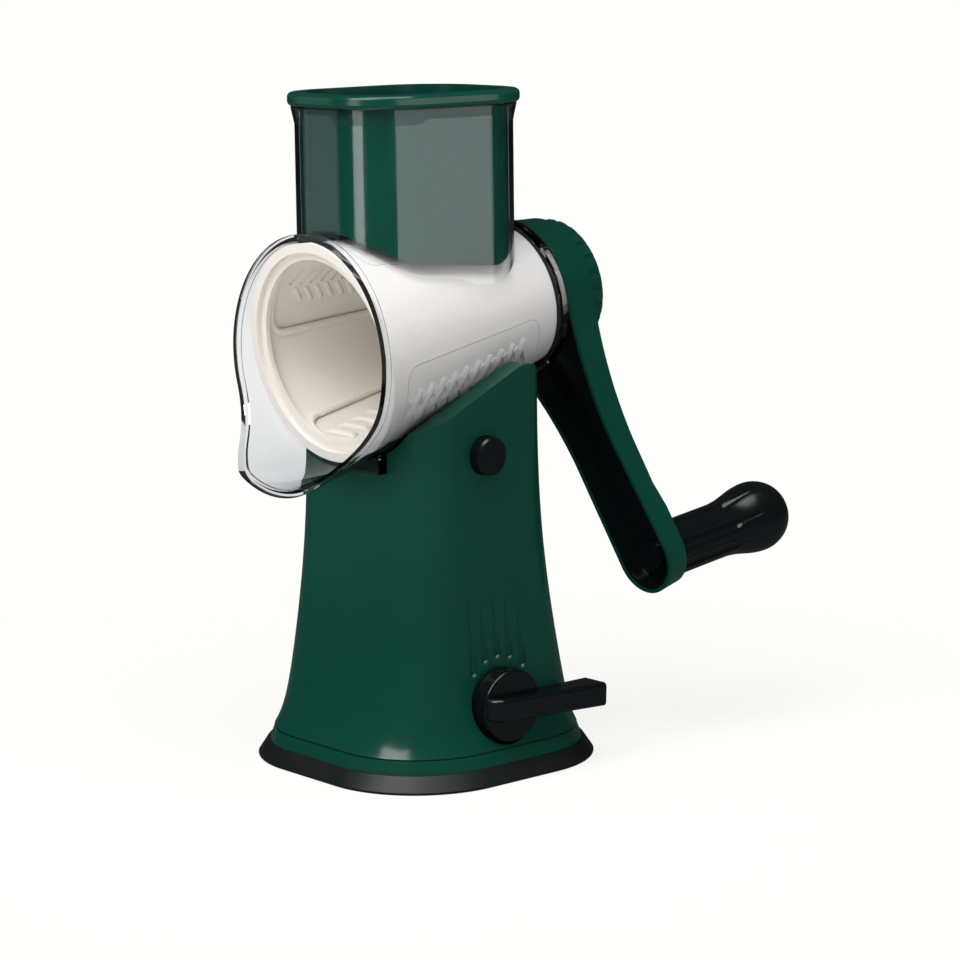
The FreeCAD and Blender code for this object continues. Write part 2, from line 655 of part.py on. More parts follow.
def base_plate():
    """The plate that closes the foot and carries the lever shaft."""
    gap = size("tower_wall") + size("seat_gap")
    plate = rounded_prism(FOOT_HALF_X - gap, FOOT_HALF_Y - gap, FOOT_CORNER - gap, PLATE_LOW, PLATE_HIGH)
    ear_top = size("lever_height") + size("shaft_radius") + 4
    for side in (-1, 1):
        near, far = sorted((side * EAR_INSIDE, side * (EAR_INSIDE + size("ear_thickness"))))
        plate = plate.fuse(block((near, LEVER_Y - size("ear_half_width"), PLATE_HIGH - 1),
                                 (far, LEVER_Y + size("ear_half_width"), ear_top)))
    shaft = rod_along_x(size("shaft_radius") + size("running_gap"), -REACH, REACH, LEVER_Y, size("lever_height"))
    stem = Part.makeCylinder(size("stem_radius") + size("seat_gap"), REACH, Vector(0, LEVER_Y, 0))
    well_wall = size("tower_wall") + size("seat_gap")
    well = rod_along_x(size("well_radius") + well_wall, size("well_floor") - well_wall, REACH, LEVER_Y,
                       size("lever_height"))
    cuts = [shaft, stem, well]
    for x, y in screw_places():
        cuts.append(Part.makeCylinder(size("screw_radius") + size("seat_gap"), REACH, Vector(x, y, 0)))
    return plate.cut(cuts)


feature("base_plate", base_plate())


def base_screws():
    """Four round-headed screws, as one group of separate solids."""
    screws = []
    for x, y in screw_places():
        head = Part.makeCylinder(size("screw_head"), 2.2, Vector(x, y, PLATE_LOW - 2.2))
        socket = Part.makeCylinder(1.3, 1.4, Vector(x, y, PLATE_LOW - 2.2))
        shank = Part.makeCylinder(size("screw_radius"), size("screw_length"), Vector(x, y, PLATE_LOW))
        screws.append(head.fuse(shank).cut(socket).removeSplitter())
    return Part.makeCompound(screws)


feature("base_screws", base_screws())

# Suction pad, its stem and the cam that lifts it

STEM_DISC_LOW = "(Sizes.pad_thickness + Sizes.stem_disc_floor)"
STEM_DISC_HIGH = "(Sizes.pad_thickness + Sizes.stem_disc_floor + Sizes.stem_disc_height)"
STEM_PLACE = Placement(Vector(0, LEVER_Y, 0), ALONG_Z)
pad = turned("suction_pad", [
    ("0", "0"), ("Sizes.pad_radius", "0"), ("Sizes.pad_radius", "Sizes.pad_thickness"),
    ("Sizes.pad_boss", "Sizes.pad_thickness"), ("Sizes.pad_boss", "Sizes.pad_boss_height"),
    ("(Sizes.stem_radius + Sizes.seat_gap)", "Sizes.pad_boss_height"),
    ("(Sizes.stem_radius + Sizes.seat_gap)", STEM_DISC_HIGH + " + Sizes.running_gap"),
    ("(Sizes.stem_disc + Sizes.running_gap)", STEM_DISC_HIGH + " + Sizes.running_gap"),
    ("(Sizes.stem_disc + Sizes.running_gap)", STEM_DISC_LOW + " - Sizes.running_gap"),
    ("0", STEM_DISC_LOW + " - Sizes.running_gap")], STEM_PLACE)
keep(pad, "suction_pad")

CAM_HIGH = size("cam_low") + size("cam_lift")
YOKE_LOW = size("lever_height") - CAM_HIGH - size("yoke_gap")
YOKE_HIGH = size("lever_height") + size("cam_low") + size("seat_gap")


def suction_stem():
    """The stem with its disc below and the open yoke round the cam above."""
    disc_low = size("pad_thickness") + size("stem_disc_floor")
    disc = Part.makeCylinder(size("stem_disc"), size("stem_disc_height"), Vector(0, LEVER_Y, disc_low))
    wall = size("yoke_wall")
    rod = Part.makeCylinder(size("stem_radius"), YOKE_LOW - wall / 2 - disc_low, Vector(0, LEVER_Y, disc_low))
    half_y = CAM_HIGH + size("yoke_gap")
    half_x = size("cam_thickness") / 2
    frame = block((-half_x, LEVER_Y - half_y - wall, YOKE_LOW - wall),
                  (half_x, LEVER_Y + half_y + wall, YOKE_HIGH + wall))
    opening = block((-half_x - 1, LEVER_Y - half_y, YOKE_LOW), (half_x + 1, LEVER_Y + half_y, YOKE_HIGH))
    return disc.fuse([rod, frame]).cut(opening).removeSplitter()


feature("suction_stem", suction_stem())


def suction_cam():
    """A cam whose radius grows evenly with the angle over half a turn."""
    steps = 8
    edge_points = []
    for i in range(steps + 1):
        # at rest the low end is on top and the cam grows towards the lever's side
        angle = math.pi / 2 - math.pi * i / steps
        radius = size("cam_low") + size("cam_lift") * i / steps
        edge_points.append(Vector(0, LEVER_Y + radius * math.cos(angle),
                                  size("lever_height") + radius * math.sin(angle)))
    growing = Part.BSplineCurve()
    growing.interpolate(edge_points)
    hub = size("shaft_radius") + 2.0
    axis = Vector(0, LEVER_Y, size("lever_height"))
    bottom = axis + Vector(0, 0, -hub)
    side = axis + Vector(0, -hub, 0)
    top = axis + Vector(0, 0, hub)
    wire = Part.Wire([
        growing.toShape(),
        Part.LineSegment(edge_points[-1], bottom).toShape(),
        Part.Arc(bottom, side, top).toShape(),
        Part.LineSegment(top, edge_points[0]).toShape()])
    thick = size("cam_thickness")
    cam = Part.Face(wire).extrude(Vector(thick, 0, 0))
    cam.translate(Vector(-thick / 2, 0, 0))
    hole = rod_along_x(size("shaft_radius") + size("press_gap"), -thick, thick, LEVER_Y, size("lever_height"))
    return cam.cut(hole)


feature("suction_cam", suction_cam())

# Lever: knob, shaft and the screw that holds the shaft

LEVER_PLACE = Placement(Vector(0, LEVER_Y, size("lever_height")), ALONG_X)
shaft = turned("lever_shaft", [
    ("0", "-(Sizes.cam_thickness / 2 + Sizes.yoke_gap + Sizes.ear_thickness + 2)"),
    ("Sizes.shaft_radius", "-(Sizes.cam_thickness / 2 + Sizes.yoke_gap + Sizes.ear_thickness + 2)"),
    ("Sizes.shaft_radius", "Sizes.lever_face - 3"), ("0", "Sizes.lever_face - 3")], LEVER_PLACE)
keep(shaft, "lever_shaft")
SHAFT_END = -(size("cam_thickness") / 2 + size("yoke_gap") + size("ear_thickness") + 2)
clip = turned("shaft_cap", [
    ("0", "0"), ("Sizes.shaft_radius + 2.5", "0"), ("Sizes.shaft_radius + 2.5", "-2"),
    ("0", "-2")], Placement(Vector(SHAFT_END, LEVER_Y, size("lever_height")), ALONG_X))
keep(clip, "shaft_cap")


def lever_knob():
    """A round disc with a squared bar that runs past its edge."""
    low = size("well_floor") + size("seat_gap") * 2
    disc = Part.makeCylinder(size("lever_disc_radius"), size("lever_face") - low, Vector(low, 0, 0), Vector(1, 0, 0))
    rim = [edge for edge in disc.Edges if abs(edge.BoundBox.XMin - size("lever_face")) < 1e-6
           and edge.BoundBox.XLength < 1e-6]
    disc = disc.makeFillet(1.0, rim)
    start = size("lever_disc_radius") - 0.6
    root = size("bar_root_height") / 2
    tip = size("bar_tip_height") / 2
    length = size("bar_length")
    sections = []
    for place, inner, half in ((-start, size("bar_root"), root), (start, size("bar_root"), root),
                               (length, size("bar_tip"), tip)):
        corners = [Vector(inner, place, -half), Vector(size("bar_outer"), place, -half),
                   Vector(size("bar_outer"), place, half), Vector(inner, place, half)]
        sections.append(Part.makePolygon(corners + corners[:1]))
    bar = Part.makeLoft(sections[:2], True, True).fuse(Part.makeLoft(sections[1:], True, True)).removeSplitter()
    front = [edge for edge in bar.Edges if abs(edge.BoundBox.YMin + start) < 1e-6 and edge.BoundBox.YLength < 1e-6
             and edge.BoundBox.ZLength > 1 and edge.BoundBox.XMin > size("bar_outer") - 1e-6]
    bar = bar.makeFillet(6.0, front)
    long_edges = [edge for edge in bar.Edges if edge.BoundBox.XMin > size("bar_outer") - 1e-6
                  and edge.BoundBox.YLength > 10]
    bar = bar.makeFillet(1.8, long_edges)
    knob = disc.fuse(bar)
    knob.rotate(Vector(0, 0, 0), Vector(1, 0, 0), size("lever_tilt"))
    knob.translate(Vector(0, LEVER_Y, size("lever_height")))
    socket_radius = size("shaft_radius") + size("press_gap")
    socket = rod_along_x(socket_radius, 0, size("lever_face") - 3, LEVER_Y, size("lever_height"))
    return knob.cut(socket).removeSplitter()


feature("lever_knob", lever_knob())

# Release button, latch frame and spring

BUTTON_PLACE = Placement(Vector(0, BUTTON_Y, size("button_height")), ALONG_X)
NEAR_BAR = TRAY_HALF + size("seat_gap") + size("button_travel") + 0.5
sheet_row = len(SIZES) + 1
DERIVED = [
    ("near_bar_outer", NEAR_BAR + size("latch_bar")),
    ("spring_start", TRAY_HALF + 0.1),
    ("housing_inner_rear", size("housing_rear") - size("housing_rear_wall")),
]
for alias, number in DERIVED:
    sheet.set(f"A{sheet_row}", alias)
    sheet.set(f"B{sheet_row}", str(number))
    sheet.setAlias(f"B{sheet_row}", alias)
    sheet_row += 1
doc.recompute()

FLANGE_FACE = "(Sizes.tower_half_width - Sizes.tower_wall - Sizes.seat_gap)"
FLANGE_BACK = "(Sizes.tower_half_width - Sizes.tower_wall - Sizes.seat_gap - 2)"
BUTTON_FACE = "(Sizes.tower_half_width + Sizes.button_proud)"
SPRING_BORE = "(Sizes.spring_radius + Sizes.seat_gap)"
button = turned("release_button", [
    (SPRING_BORE, "Sizes.near_bar_outer"),
    (SPRING_BORE + " + 1.4", "Sizes.near_bar_outer"),
    (SPRING_BORE + " + 1.4", FLANGE_BACK), ("Sizes.button_flange", FLANGE_BACK),
    ("Sizes.button_flange", FLANGE_FACE), ("Sizes.button_radius", FLANGE_FACE),
    ("Sizes.button_radius", BUTTON_FACE), ("0", BUTTON_FACE), ("0", FLANGE_BACK),
    (SPRING_BORE, FLANGE_BACK)], BUTTON_PLACE)
button_turn = button.Tip
bevel_edges(button, button_turn,
            edges_where(button_turn, is_circle_at(size("button_radius"),
                                                  size("tower_half_width") + size("button_proud"))),
            "Sizes.button_chamfer", "button_edge")
keep(button, "release_button")


def latch_frame():
    """A frame open at the front, with a tooth that bites into the foot from the far side."""
    bar = size("latch_bar")
    far_inside = -TRAY_HALF - size("seat_gap") - 0.2
    front = BUTTON_Y - size("spring_radius") - 3
    rear_inside = TRAY_REAR + size("seat_gap") + 0.2
    near = block((NEAR_BAR, front, LATCH_LOW - 2.5), (NEAR_BAR + bar, rear_inside + bar, LATCH_HIGH + 2.5))
    near_low = block((NEAR_BAR - 1, BUTTON_Y + size("spring_radius") + 3, LATCH_LOW - 3),
                     (NEAR_BAR + bar + 1, rear_inside + bar + 1, LATCH_LOW))
    near_high = block((NEAR_BAR - 1, BUTTON_Y + size("spring_radius") + 3, LATCH_HIGH),
                      (NEAR_BAR + bar + 1, rear_inside + bar + 1, LATCH_HIGH + 3))
    far = block((far_inside - bar, BUTTON_Y - size("latch_half_width"), LATCH_LOW),
                (far_inside, rear_inside + bar, LATCH_HIGH))
    rear = block((far_inside - bar, rear_inside, LATCH_LOW), (NEAR_BAR + bar, rear_inside + bar, LATCH_HIGH))
    tooth = block((far_inside - 1, BUTTON_Y - size("latch_half_width"), LATCH_LOW),
                  (-size("foot_half_width") + size("latch_bite"), BUTTON_Y + size("latch_half_width"), LATCH_HIGH))
    hole = rod_along_x(size("spring_radius") + size("seat_gap"), NEAR_BAR - 1, NEAR_BAR + bar + 1, BUTTON_Y,
                       size("button_height"))
    near = near.cut([near_low, near_high])
    return near.fuse([far, rear, tooth]).cut(hole).removeSplitter()


feature("latch_frame", latch_frame())

spring = turned("button_spring", [
    ("Sizes.spring_radius - Sizes.spring_wire", "Sizes.spring_start"), ("Sizes.spring_radius", "Sizes.spring_start"),
    ("Sizes.spring_radius", FLANGE_BACK + " - 0.1"),
    ("Sizes.spring_radius - Sizes.spring_wire", FLANGE_BACK + " - 0.1")], BUTTON_PLACE)
keep(spring, "button_spring")

# Clear housing: conical barrel with a scoop, hopper, rear wall and foot

def mouth_edge(shift):
    """The mouth's edge seen from the side: straight down, forward in one bend, down in another."""
    angle = math.radians(size("scoop_angle"))
    small = size("scoop_lip_radius")
    back = -size("mouth_cut") + shift
    lip = -size("scoop_reach") + shift
    lip_top = side_point(lip, size("scoop_level"))
    small_end = side_point(lip + small * (1 - math.cos(angle)), size("scoop_level") + small * math.sin(angle))
    small_middle = side_point(lip + small * (1 - math.cos(angle / 2)),
                              size("scoop_level") + small * math.sin(angle / 2))
    # the large bend starts at scoop_bend and meets the straight slope
    run = size("scoop_bend") - small_end.z
    step = small_end.y - back
    large = (run * math.tan(angle) + step) / (math.sin(angle) * math.tan(angle) - (1 - math.cos(angle)))
    large_end = side_point(back - large * (1 - math.cos(angle)), size("scoop_bend") - large * math.sin(angle))
    large_middle = side_point(back - large * (1 - math.cos(angle / 2)),
                              size("scoop_bend") - large * math.sin(angle / 2))
    top = side_point(back, size("axis_height") + size("hopper_half_width") * 2)
    bend = side_point(back, size("scoop_bend"))
    bottom = side_point(lip, size("scoop_level") - size("hopper_half_width"))
    edges = [
        Part.LineSegment(top, bend).toShape(),
        Part.Arc(bend, large_middle, large_end).toShape(),
        Part.LineSegment(large_end, small_end).toShape(),
        Part.Arc(small_end, small_middle, lip_top).toShape(),
        Part.LineSegment(lip_top, bottom).toShape(),
    ]
    return edges, top, bottom


def before_mouth():
    """Everything in front of the mouth's edge."""
    edges, top, bottom = mouth_edge(0.0)
    far_bottom = side_point(-REACH, bottom.z)
    far_top = side_point(-REACH, top.z)
    edges.append(Part.LineSegment(bottom, far_bottom).toShape())
    edges.append(Part.LineSegment(far_bottom, far_top).toShape())
    edges.append(Part.LineSegment(far_top, top).toShape())
    return side_prism(edges, REACH)


def bead_band():
    """The band just behind the mouth's edge."""
    front, front_top, front_bottom = mouth_edge(0.0)
    back, back_top, back_bottom = mouth_edge(size("lip_bead"))
    joined = front + [Part.LineSegment(front_bottom, back_bottom).toShape()]
    joined += list(reversed(back)) + [Part.LineSegment(back_top, front_top).toShape()]
    return side_prism(Part.__sortEdges__(joined), REACH)


HOPPER_Y = -size("hopper_back")


def barrel(rear, offset):
    """The drum's cone moved out by an offset; before the mouth it goes on as the narrower scoop."""
    front = -size("scoop_reach") - 10
    bend = -size("mouth_cut")
    narrowing = HOUSING_OUTSIDE - offset
    lip_radius = size("scoop_radius") - narrowing
    bend_radius = drum_radius(bend, offset)
    slope = (lip_radius - bend_radius) / (bend + size("scoop_reach"))
    front_radius = bend_radius + slope * (bend - front)
    scoop = Part.makeCone(front_radius, bend_radius, bend - front)
    scoop.Placement = DRUM_FRAME.multiply(Placement(Vector(0, front, 0), UP_TO_AXIS))
    return cone_about_axis(bend, rear, offset).fuse(scoop)


def clear_housing():
    """The one-piece clear moulding."""
    rear = size("housing_rear")
    rear_inside = rear - size("housing_rear_wall")
    outer = barrel(rear, HOUSING_OUTSIDE)
    inner = barrel(rear_inside, HOUSING_INSIDE)
    bead = barrel(0, HOUSING_OUTSIDE + size("lip_rise")).common(bead_band())
    collar = disc_about_axis(drum_radius(rear - size("collar_length"), HOUSING_OUTSIDE) + size("collar_rise"),
                             rear - size("collar_length"), rear)
    collar = collar.makeChamfer(size("collar_rise") * 0.8, [e for e in collar.Edges if len(e.Vertexes) == 1])
    wide, deep, corner = size("hopper_half_width"), size("hopper_half_depth"), size("hopper_corner")
    low = size("axis_height") + 8
    top = size("hopper_top")
    bend = top - size("flare_height")
    flare = size("hopper_flare")
    hopper = rounded_prism(wide, deep, corner, low, bend, HOPPER_Y)
    rim = Part.makeLoft([rounded_rectangle(wide, deep, corner, bend, HOPPER_Y),
                         rounded_rectangle(wide + flare, deep + flare, corner + flare, top, HOPPER_Y)], True, True)
    wall = size("hopper_wall")
    hopper_inside = rounded_prism(wide - wall, deep - wall, corner - wall, low + 6, top + 1, HOPPER_Y)
    foot_half = size("foot_half_width")
    shell = size("foot_wall")
    foot = block((-foot_half, -size("foot_front"), size("notch_floor")),
                 (foot_half, size("foot_rear"), size("axis_height")))
    foot_inside = block((-foot_half + shell, -size("foot_front") + shell, size("notch_floor") - 1),
                        (foot_half - shell, size("foot_rear") - shell, size("axis_height")))
    rib = block((-shell / 2, -size("foot_front"), size("notch_floor")),
                (shell / 2, size("foot_rear"), size("axis_height")))
    foot = foot.cut(foot_inside).fuse(rib)
    latch_gap = 0.8
    latch_hole = block((-foot_half - 1, BUTTON_Y - size("latch_half_width") - latch_gap, LATCH_LOW - latch_gap),
                       (-foot_half + shell + 1, BUTTON_Y + size("latch_half_width") + latch_gap,
                        LATCH_HIGH + latch_gap))
    foot = foot.cut(latch_hole)
    body = outer.fuse([hopper, rim, collar, foot]).cut(before_mouth()).fuse(bead)
    bush_seat = disc_about_axis(size("neck_radius") + size("running_gap") + size("bush_wall"), 0, REACH)
    return body.cut([inner, hopper_inside, bush_seat]).removeSplitter()


feature("clear_housing", clear_housing())

# Rear bush: the bearing that the drum's neck turns in

BUSH_BORE = "(Sizes.neck_radius + Sizes.running_gap)"
BUSH_OUTSIDE = "(Sizes.neck_radius + Sizes.running_gap + Sizes.bush_wall - Sizes.press_gap)"
FLANGE_OUTSIDE = "(Sizes.neck_radius + Sizes.running_gap + Sizes.bush_wall + Sizes.bush_flange)"
bush = turned("rear_bush", [
    (BUSH_BORE, "Sizes.housing_inner_rear"), (BUSH_OUTSIDE, "Sizes.housing_inner_rear"),
    (BUSH_OUTSIDE, "Sizes.housing_rear"), (FLANGE_OUTSIDE, "Sizes.housing_rear"),
    (FLANGE_OUTSIDE, "Sizes.housing_rear + 1"), (BUSH_BORE, "Sizes.housing_rear + 1")], DRUM_FRAME)
keep(bush, "rear_bush")

# Pusher: a green cup that rests by its lid on the hopper's rim

def pusher():
    """A hollow block with a curved floor that follows the drum."""
    gap = size("hopper_wall") + size("pusher_gap")
    wide, deep = size("hopper_half_width") - gap, size("hopper_half_depth") - gap
    corner = size("hopper_corner") - gap
    lid_low = size("hopper_top") + size("seat_gap")
    lid_high = lid_low + size("lid_height")
    low = size("axis_height") + 10
    body = rounded_prism(wide, deep, corner, low, lid_low + 1, HOPPER_Y)
    lid = rounded_prism(size("lid_half_width"), size("lid_half_depth"), size("lid_corner"), lid_low, lid_high,
                        HOPPER_Y)
    lid = lid.makeFillet(size("lid_round"), [edge for edge in lid.Edges if edge.BoundBox.ZLength < 1e-6])
    lift = size("drum_rear") * 2
    below = cone_about_axis(-lift, lift, size("pusher_lift"))
    below_inside = cone_about_axis(-lift, lift, size("pusher_lift") + size("pusher_floor"))
    wall = size("pusher_wall")
    hollow = rounded_prism(wide - wall, deep - wall, corner - wall, low - 1, lid_high + 1, HOPPER_Y)
    hollow = hollow.cut(below_inside)
    return body.fuse(lid).cut([below, hollow]).removeSplitter()


feature("pusher", pusher())

# Drum: a white frame with two windows, each closed by an insert

SLOPE = "tan(Sizes.drum_taper * 1 deg)"


def cone_formula(along, offset):
    """The drum's outer radius at a place along the axis, as a formula of the sheet."""
    return f"Sizes.drum_front_radius - {SLOPE} * ({along} + Sizes.drum_front) + ({offset})"


RIM_BACK = "(-Sizes.drum_front + Sizes.rim_depth)"
REAR_INSIDE = "(Sizes.drum_rear - Sizes.rear_wall)"
drum_blank = turned("drum_blank", [
    ("Sizes.drum_front_radius", "-Sizes.drum_front"),
    (cone_formula("Sizes.drum_rear", "0"), "Sizes.drum_rear"),
    ("(Sizes.neck_radius + Sizes.running_gap)", "Sizes.drum_rear"),
    ("(Sizes.neck_radius + Sizes.running_gap)", REAR_INSIDE),
    (cone_formula(REAR_INSIDE, "-Sizes.drum_wall"), REAR_INSIDE),
    (cone_formula(RIM_BACK, "-Sizes.drum_wall"), RIM_BACK),
    (cone_formula(RIM_BACK, "-Sizes.rim_thickness"), RIM_BACK + " - 2"),
    (cone_formula(RIM_BACK, "-Sizes.rim_thickness"), "-Sizes.drum_front + Sizes.rim_step"),
    (cone_formula("(-Sizes.drum_front)", "-Sizes.rim_thickness * 0.6"), "-Sizes.drum_front + Sizes.rim_step"),
    (cone_formula("(-Sizes.drum_front)", "-Sizes.rim_thickness * 0.6"), "-Sizes.drum_front")], DRUM_FRAME)


def window(middle, margin):
    """A sector round the drum axis with rounded corners, smaller by a margin all round."""
    front = -size("window_front") + margin
    rear = size("window_rear") - margin
    reach = size("drum_front_radius") * 1.4
    trim = math.degrees(margin / size("drum_front_radius"))
    angle = size("window_angle") - 2 * trim
    core = size("neck_radius")
    corners = [Vector(core, front, 0), Vector(reach, front, 0), Vector(reach, rear, 0), Vector(core, rear, 0)]
    face = Part.Face(Part.makePolygon(corners + corners[:1]))
    sector = face.revolve(Vector(0, 0, 0), Vector(0, -1, 0), angle)
    radial = [edge for edge in sector.Edges if isinstance(edge.Curve, Part.Line) and edge.BoundBox.YLength < 1e-6]
    sector = sector.makeFillet(size("window_corner") - margin, radial)
    sector.rotate(Vector(0, 0, 0), Vector(0, -1, 0), middle - angle / 2)
    return sector


def in_drum_frame(shape):
    """A shape drawn in the drum frame, moved into the object's own frame."""
    moved = shape.copy()
    moved.Placement = DRUM_FRAME.multiply(moved.Placement)
    return moved


windows = doc.addObject("Part::Feature", "drum_windows")
windows.Shape = in_drum_frame(window(size("window_middle"), 0.0)).fuse(
    in_drum_frame(window(size("window_middle") + 180, 0.0)))
drum = doc.addObject("Part::Cut", "drum_frame")
drum.Base = drum_blank
drum.Tool = windows
doc.recompute()
keep(drum, "drum_frame")


def around(angle, radius, along):
    """The place on the drum at an angle from +X, a radius and a distance along the axis."""
    turn = math.radians(angle)
    return Vector(radius * math.cos(turn), along, radius * math.sin(turn))


def slanted_box(length, width, height, angle, along, sink):
    """A box lying on the drum's skin, its length round the drum but slanted."""
    box = Part.makeBox(length, width, height, Vector(-length / 2, -width / 2, -sink))
    box.rotate(Vector(0, 0, 0), Vector(0, 0, 1), size("slant"))
    box.rotate(Vector(0, 0, 0), Vector(0, 1, 0), 90 - angle)
    box.translate(around(angle, drum_radius(along), along))
    return box


def cone_shell(inner_offset, outer_offset):
    """A thin conical shell over the length of the windows, in the drum frame."""
    front, rear = -size("window_front"), size("window_rear")
    outer = Part.makeCone(drum_radius(front, outer_offset), drum_radius(rear, outer_offset), rear - front)
    inner = Part.makeCone(drum_radius(front, inner_offset), drum_radius(rear, inner_offset), rear - front)
    shell = outer.cut(inner)
    shell.Placement = Placement(Vector(0, front, 0), UP_TO_AXIS)
    return shell


def insert_blank(middle):
    """The curved panel that fills one window."""
    return cone_shell(-size("insert_wall"), 0.0).common(window(middle, size("insert_gap")))


def slicing_insert():
    """The lower insert: slanted slots, each with a raised tooth beside it."""
    panel = insert_blank(size("window_middle") + 180)
    angle = -31.0
    teeth = []
    slots = []
    for i in range(int(size("tooth_count"))):
        along = -size("window_front") + 8.5 + i * size("tooth_pitch")
        teeth.append(slanted_box(size("tooth_length"), size("tooth_width"), 8, angle,
                                 along - size("tooth_width"), 5.0))
        slots.append(slanted_box(size("tooth_length"), size("tooth_width"), 8, angle, along, 5.0))
    raised = cone_shell(-1.0, size("tooth_height")).common(teeth[0].fuse(teeth[1:]))
    return panel.fuse(raised).cut(slots)


def grating_insert():
    """The upper insert: fine slanted slits."""
    panel = insert_blank(size("window_middle"))
    slits = []
    for i in range(int(size("slit_count"))):
        along = -size("window_front") + 9.0 + i * size("slit_pitch")
        slits.append(slanted_box(size("slit_length"), size("slit_width"), 8, 142.0, along, 5.0))
    return panel.cut(slits)


feature("slicing_insert", slicing_insert(), DRUM_FRAME)
feature("grating_insert", grating_insert(), DRUM_FRAME)

# Neck: bolted to the drum's rear wall, it turns in the bush and carries the crank

NECK_END = "(Sizes.crank_rear - Sizes.crank_back)"
NECK_BORE = "(Sizes.bolt_radius + Sizes.running_gap)"
neck = turned("drum_neck", [
    (NECK_BORE, REAR_INSIDE + " - Sizes.neck_flange_height"),
    ("Sizes.neck_flange", REAR_INSIDE + " - Sizes.neck_flange_height"), ("Sizes.neck_flange", REAR_INSIDE),
    ("Sizes.neck_radius", REAR_INSIDE), ("Sizes.neck_radius", NECK_END), (NECK_BORE, NECK_END)], DRUM_FRAME)
keep(neck, "drum_neck")

NUT_BACK = "(Sizes.crank_rear + Sizes.nut_height)"
bolt = turned("hub_bolt", [
    ("0", REAR_INSIDE + " - Sizes.neck_flange_height - Sizes.bolt_head_height"),
    ("Sizes.bolt_head_radius", REAR_INSIDE + " - Sizes.neck_flange_height - Sizes.bolt_head_height"),
    ("Sizes.bolt_head_radius", REAR_INSIDE + " - Sizes.neck_flange_height"),
    ("Sizes.bolt_radius", REAR_INSIDE + " - Sizes.neck_flange_height"),
    ("Sizes.bolt_radius", NUT_BACK + " - 2"), ("0", NUT_BACK + " - 2")], DRUM_FRAME)
keep(bolt, "hub_bolt")

# Crank arm with its black liner

def crank_outline(inset):
    """The wire of hub circle, hollow-sided arm and small end circle along +X, smaller by an inset."""
    hub = size("crank_hub_radius") - inset
    end = size("crank_end_radius") - inset
    waist = size("crank_waist") - inset
    at = size("crank_waist_at")
    length = size("crank_length")
    bend = (at ** 2 / (hub - waist) - hub - waist) / 2
    share = hub / (hub + bend)
    meet = Vector(at * share, 0, (waist + bend) * share)
    half = at * (1 + share) / 2
    middle = Vector(half, 0, waist + bend - math.sqrt(bend ** 2 - (at - half) ** 2))
    widen = math.asin((end - waist) / (length - at))
    tangent = Vector(length - end * math.sin(widen), 0, end * math.cos(widen))
    waist_point = Vector(at, 0, waist)

    def mirrored(point):
        return Vector(point.x, 0, -point.z)

    edges = [
        Part.Arc(meet, Vector(-hub, 0, 0), mirrored(meet)).toShape(),
        Part.Arc(mirrored(meet), mirrored(middle), mirrored(waist_point)).toShape(),
        Part.LineSegment(mirrored(waist_point), mirrored(tangent)).toShape(),
        Part.Arc(mirrored(tangent), Vector(length + end, 0, 0), tangent).toShape(),
        Part.LineSegment(tangent, waist_point).toShape(),
        Part.Arc(waist_point, middle, meet).toShape(),
    ]
    return Part.Wire(edges)


def crank_slab(front, sink):
    """The space between a front face that leans back and the crank's rear face sunk in, seen across it."""
    far = 2 * size("crank_length")
    hub = -2 * size("crank_hub_radius")
    far_front = front + 2 * size("crank_lean")
    rear = size("crank_rear") - sink
    end_start = size("crank_length") - size("crank_end_radius")
    end_rear = rear + size("crank_end_rise")
    corners = [
        Vector(hub, front, 0), Vector(0, front, 0), Vector(far, far_front, 0), Vector(far, end_rear, 0),
        Vector(end_start, end_rear, 0), Vector(size("crank_dip_at"), rear - size("crank_dip"), 0),
        Vector(size("crank_flat"), rear, 0), Vector(hub, rear, 0)]
    face = Part.Face(Part.makePolygon(corners + corners[:1]))
    face.translate(Vector(0, 0, -size("crank_length")))
    return face.extrude(Vector(0, 0, 2 * size("crank_length")))


def crank_prism(inset, front, sink):
    """A slice of the drafted crank, narrower towards its rear face."""
    slope = size("crank_draft") / (size("crank_rear") - size("crank_front"))
    sections = []
    for along in (size("crank_front") - 2, size("crank_rear") + 2):
        section = crank_outline(inset + slope * (along - size("crank_front")))
        section.translate(Vector(0, along, 0))
        sections.append(section)
    return Part.makeLoft(sections, True, True).common(crank_slab(front, sink))


PIN_FRONT = size("crank_front") + size("crank_lean")
CRANK_TURN = Placement(Vector(0, 0, 0), Rotation(Vector(0, -1, 0), size("crank_angle")))
CRANK_FRAME = DRUM_FRAME.multiply(CRANK_TURN)
HANDLE_X = size("crank_length") * math.cos(math.radians(size("crank_angle")))
HANDLE_Z = size("crank_length") * math.sin(math.radians(size("crank_angle")))
HANDLE_FRAME = DRUM_FRAME.multiply(Placement(Vector(HANDLE_X, PIN_FRONT, HANDLE_Z), Rotation()))
LINER_OUTSET = size("crank_rim") + 0.1
ARM_BACK = size("crank_rear") + size("crank_end_rise") - PIN_FRONT
BOSS_BACK = ARM_BACK + size("handle_boss")


def handle_rod(radius, low, high):
    """A solid cylinder round the handle axis, in the crank's frame."""
    rod = Part.makeCylinder(radius, high - low)
    into_crank = CRANK_FRAME.inverse().multiply(HANDLE_FRAME)
    rod.Placement = into_crank.multiply(Placement(Vector(0, low, 0), UP_TO_AXIS))
    return rod


def hub_rod(radius, front, rear):
    """A solid cylinder round the drum axis, in the crank's frame."""
    return Part.makeCylinder(radius, rear - front, Vector(0, front, 0), Vector(0, 1, 0))


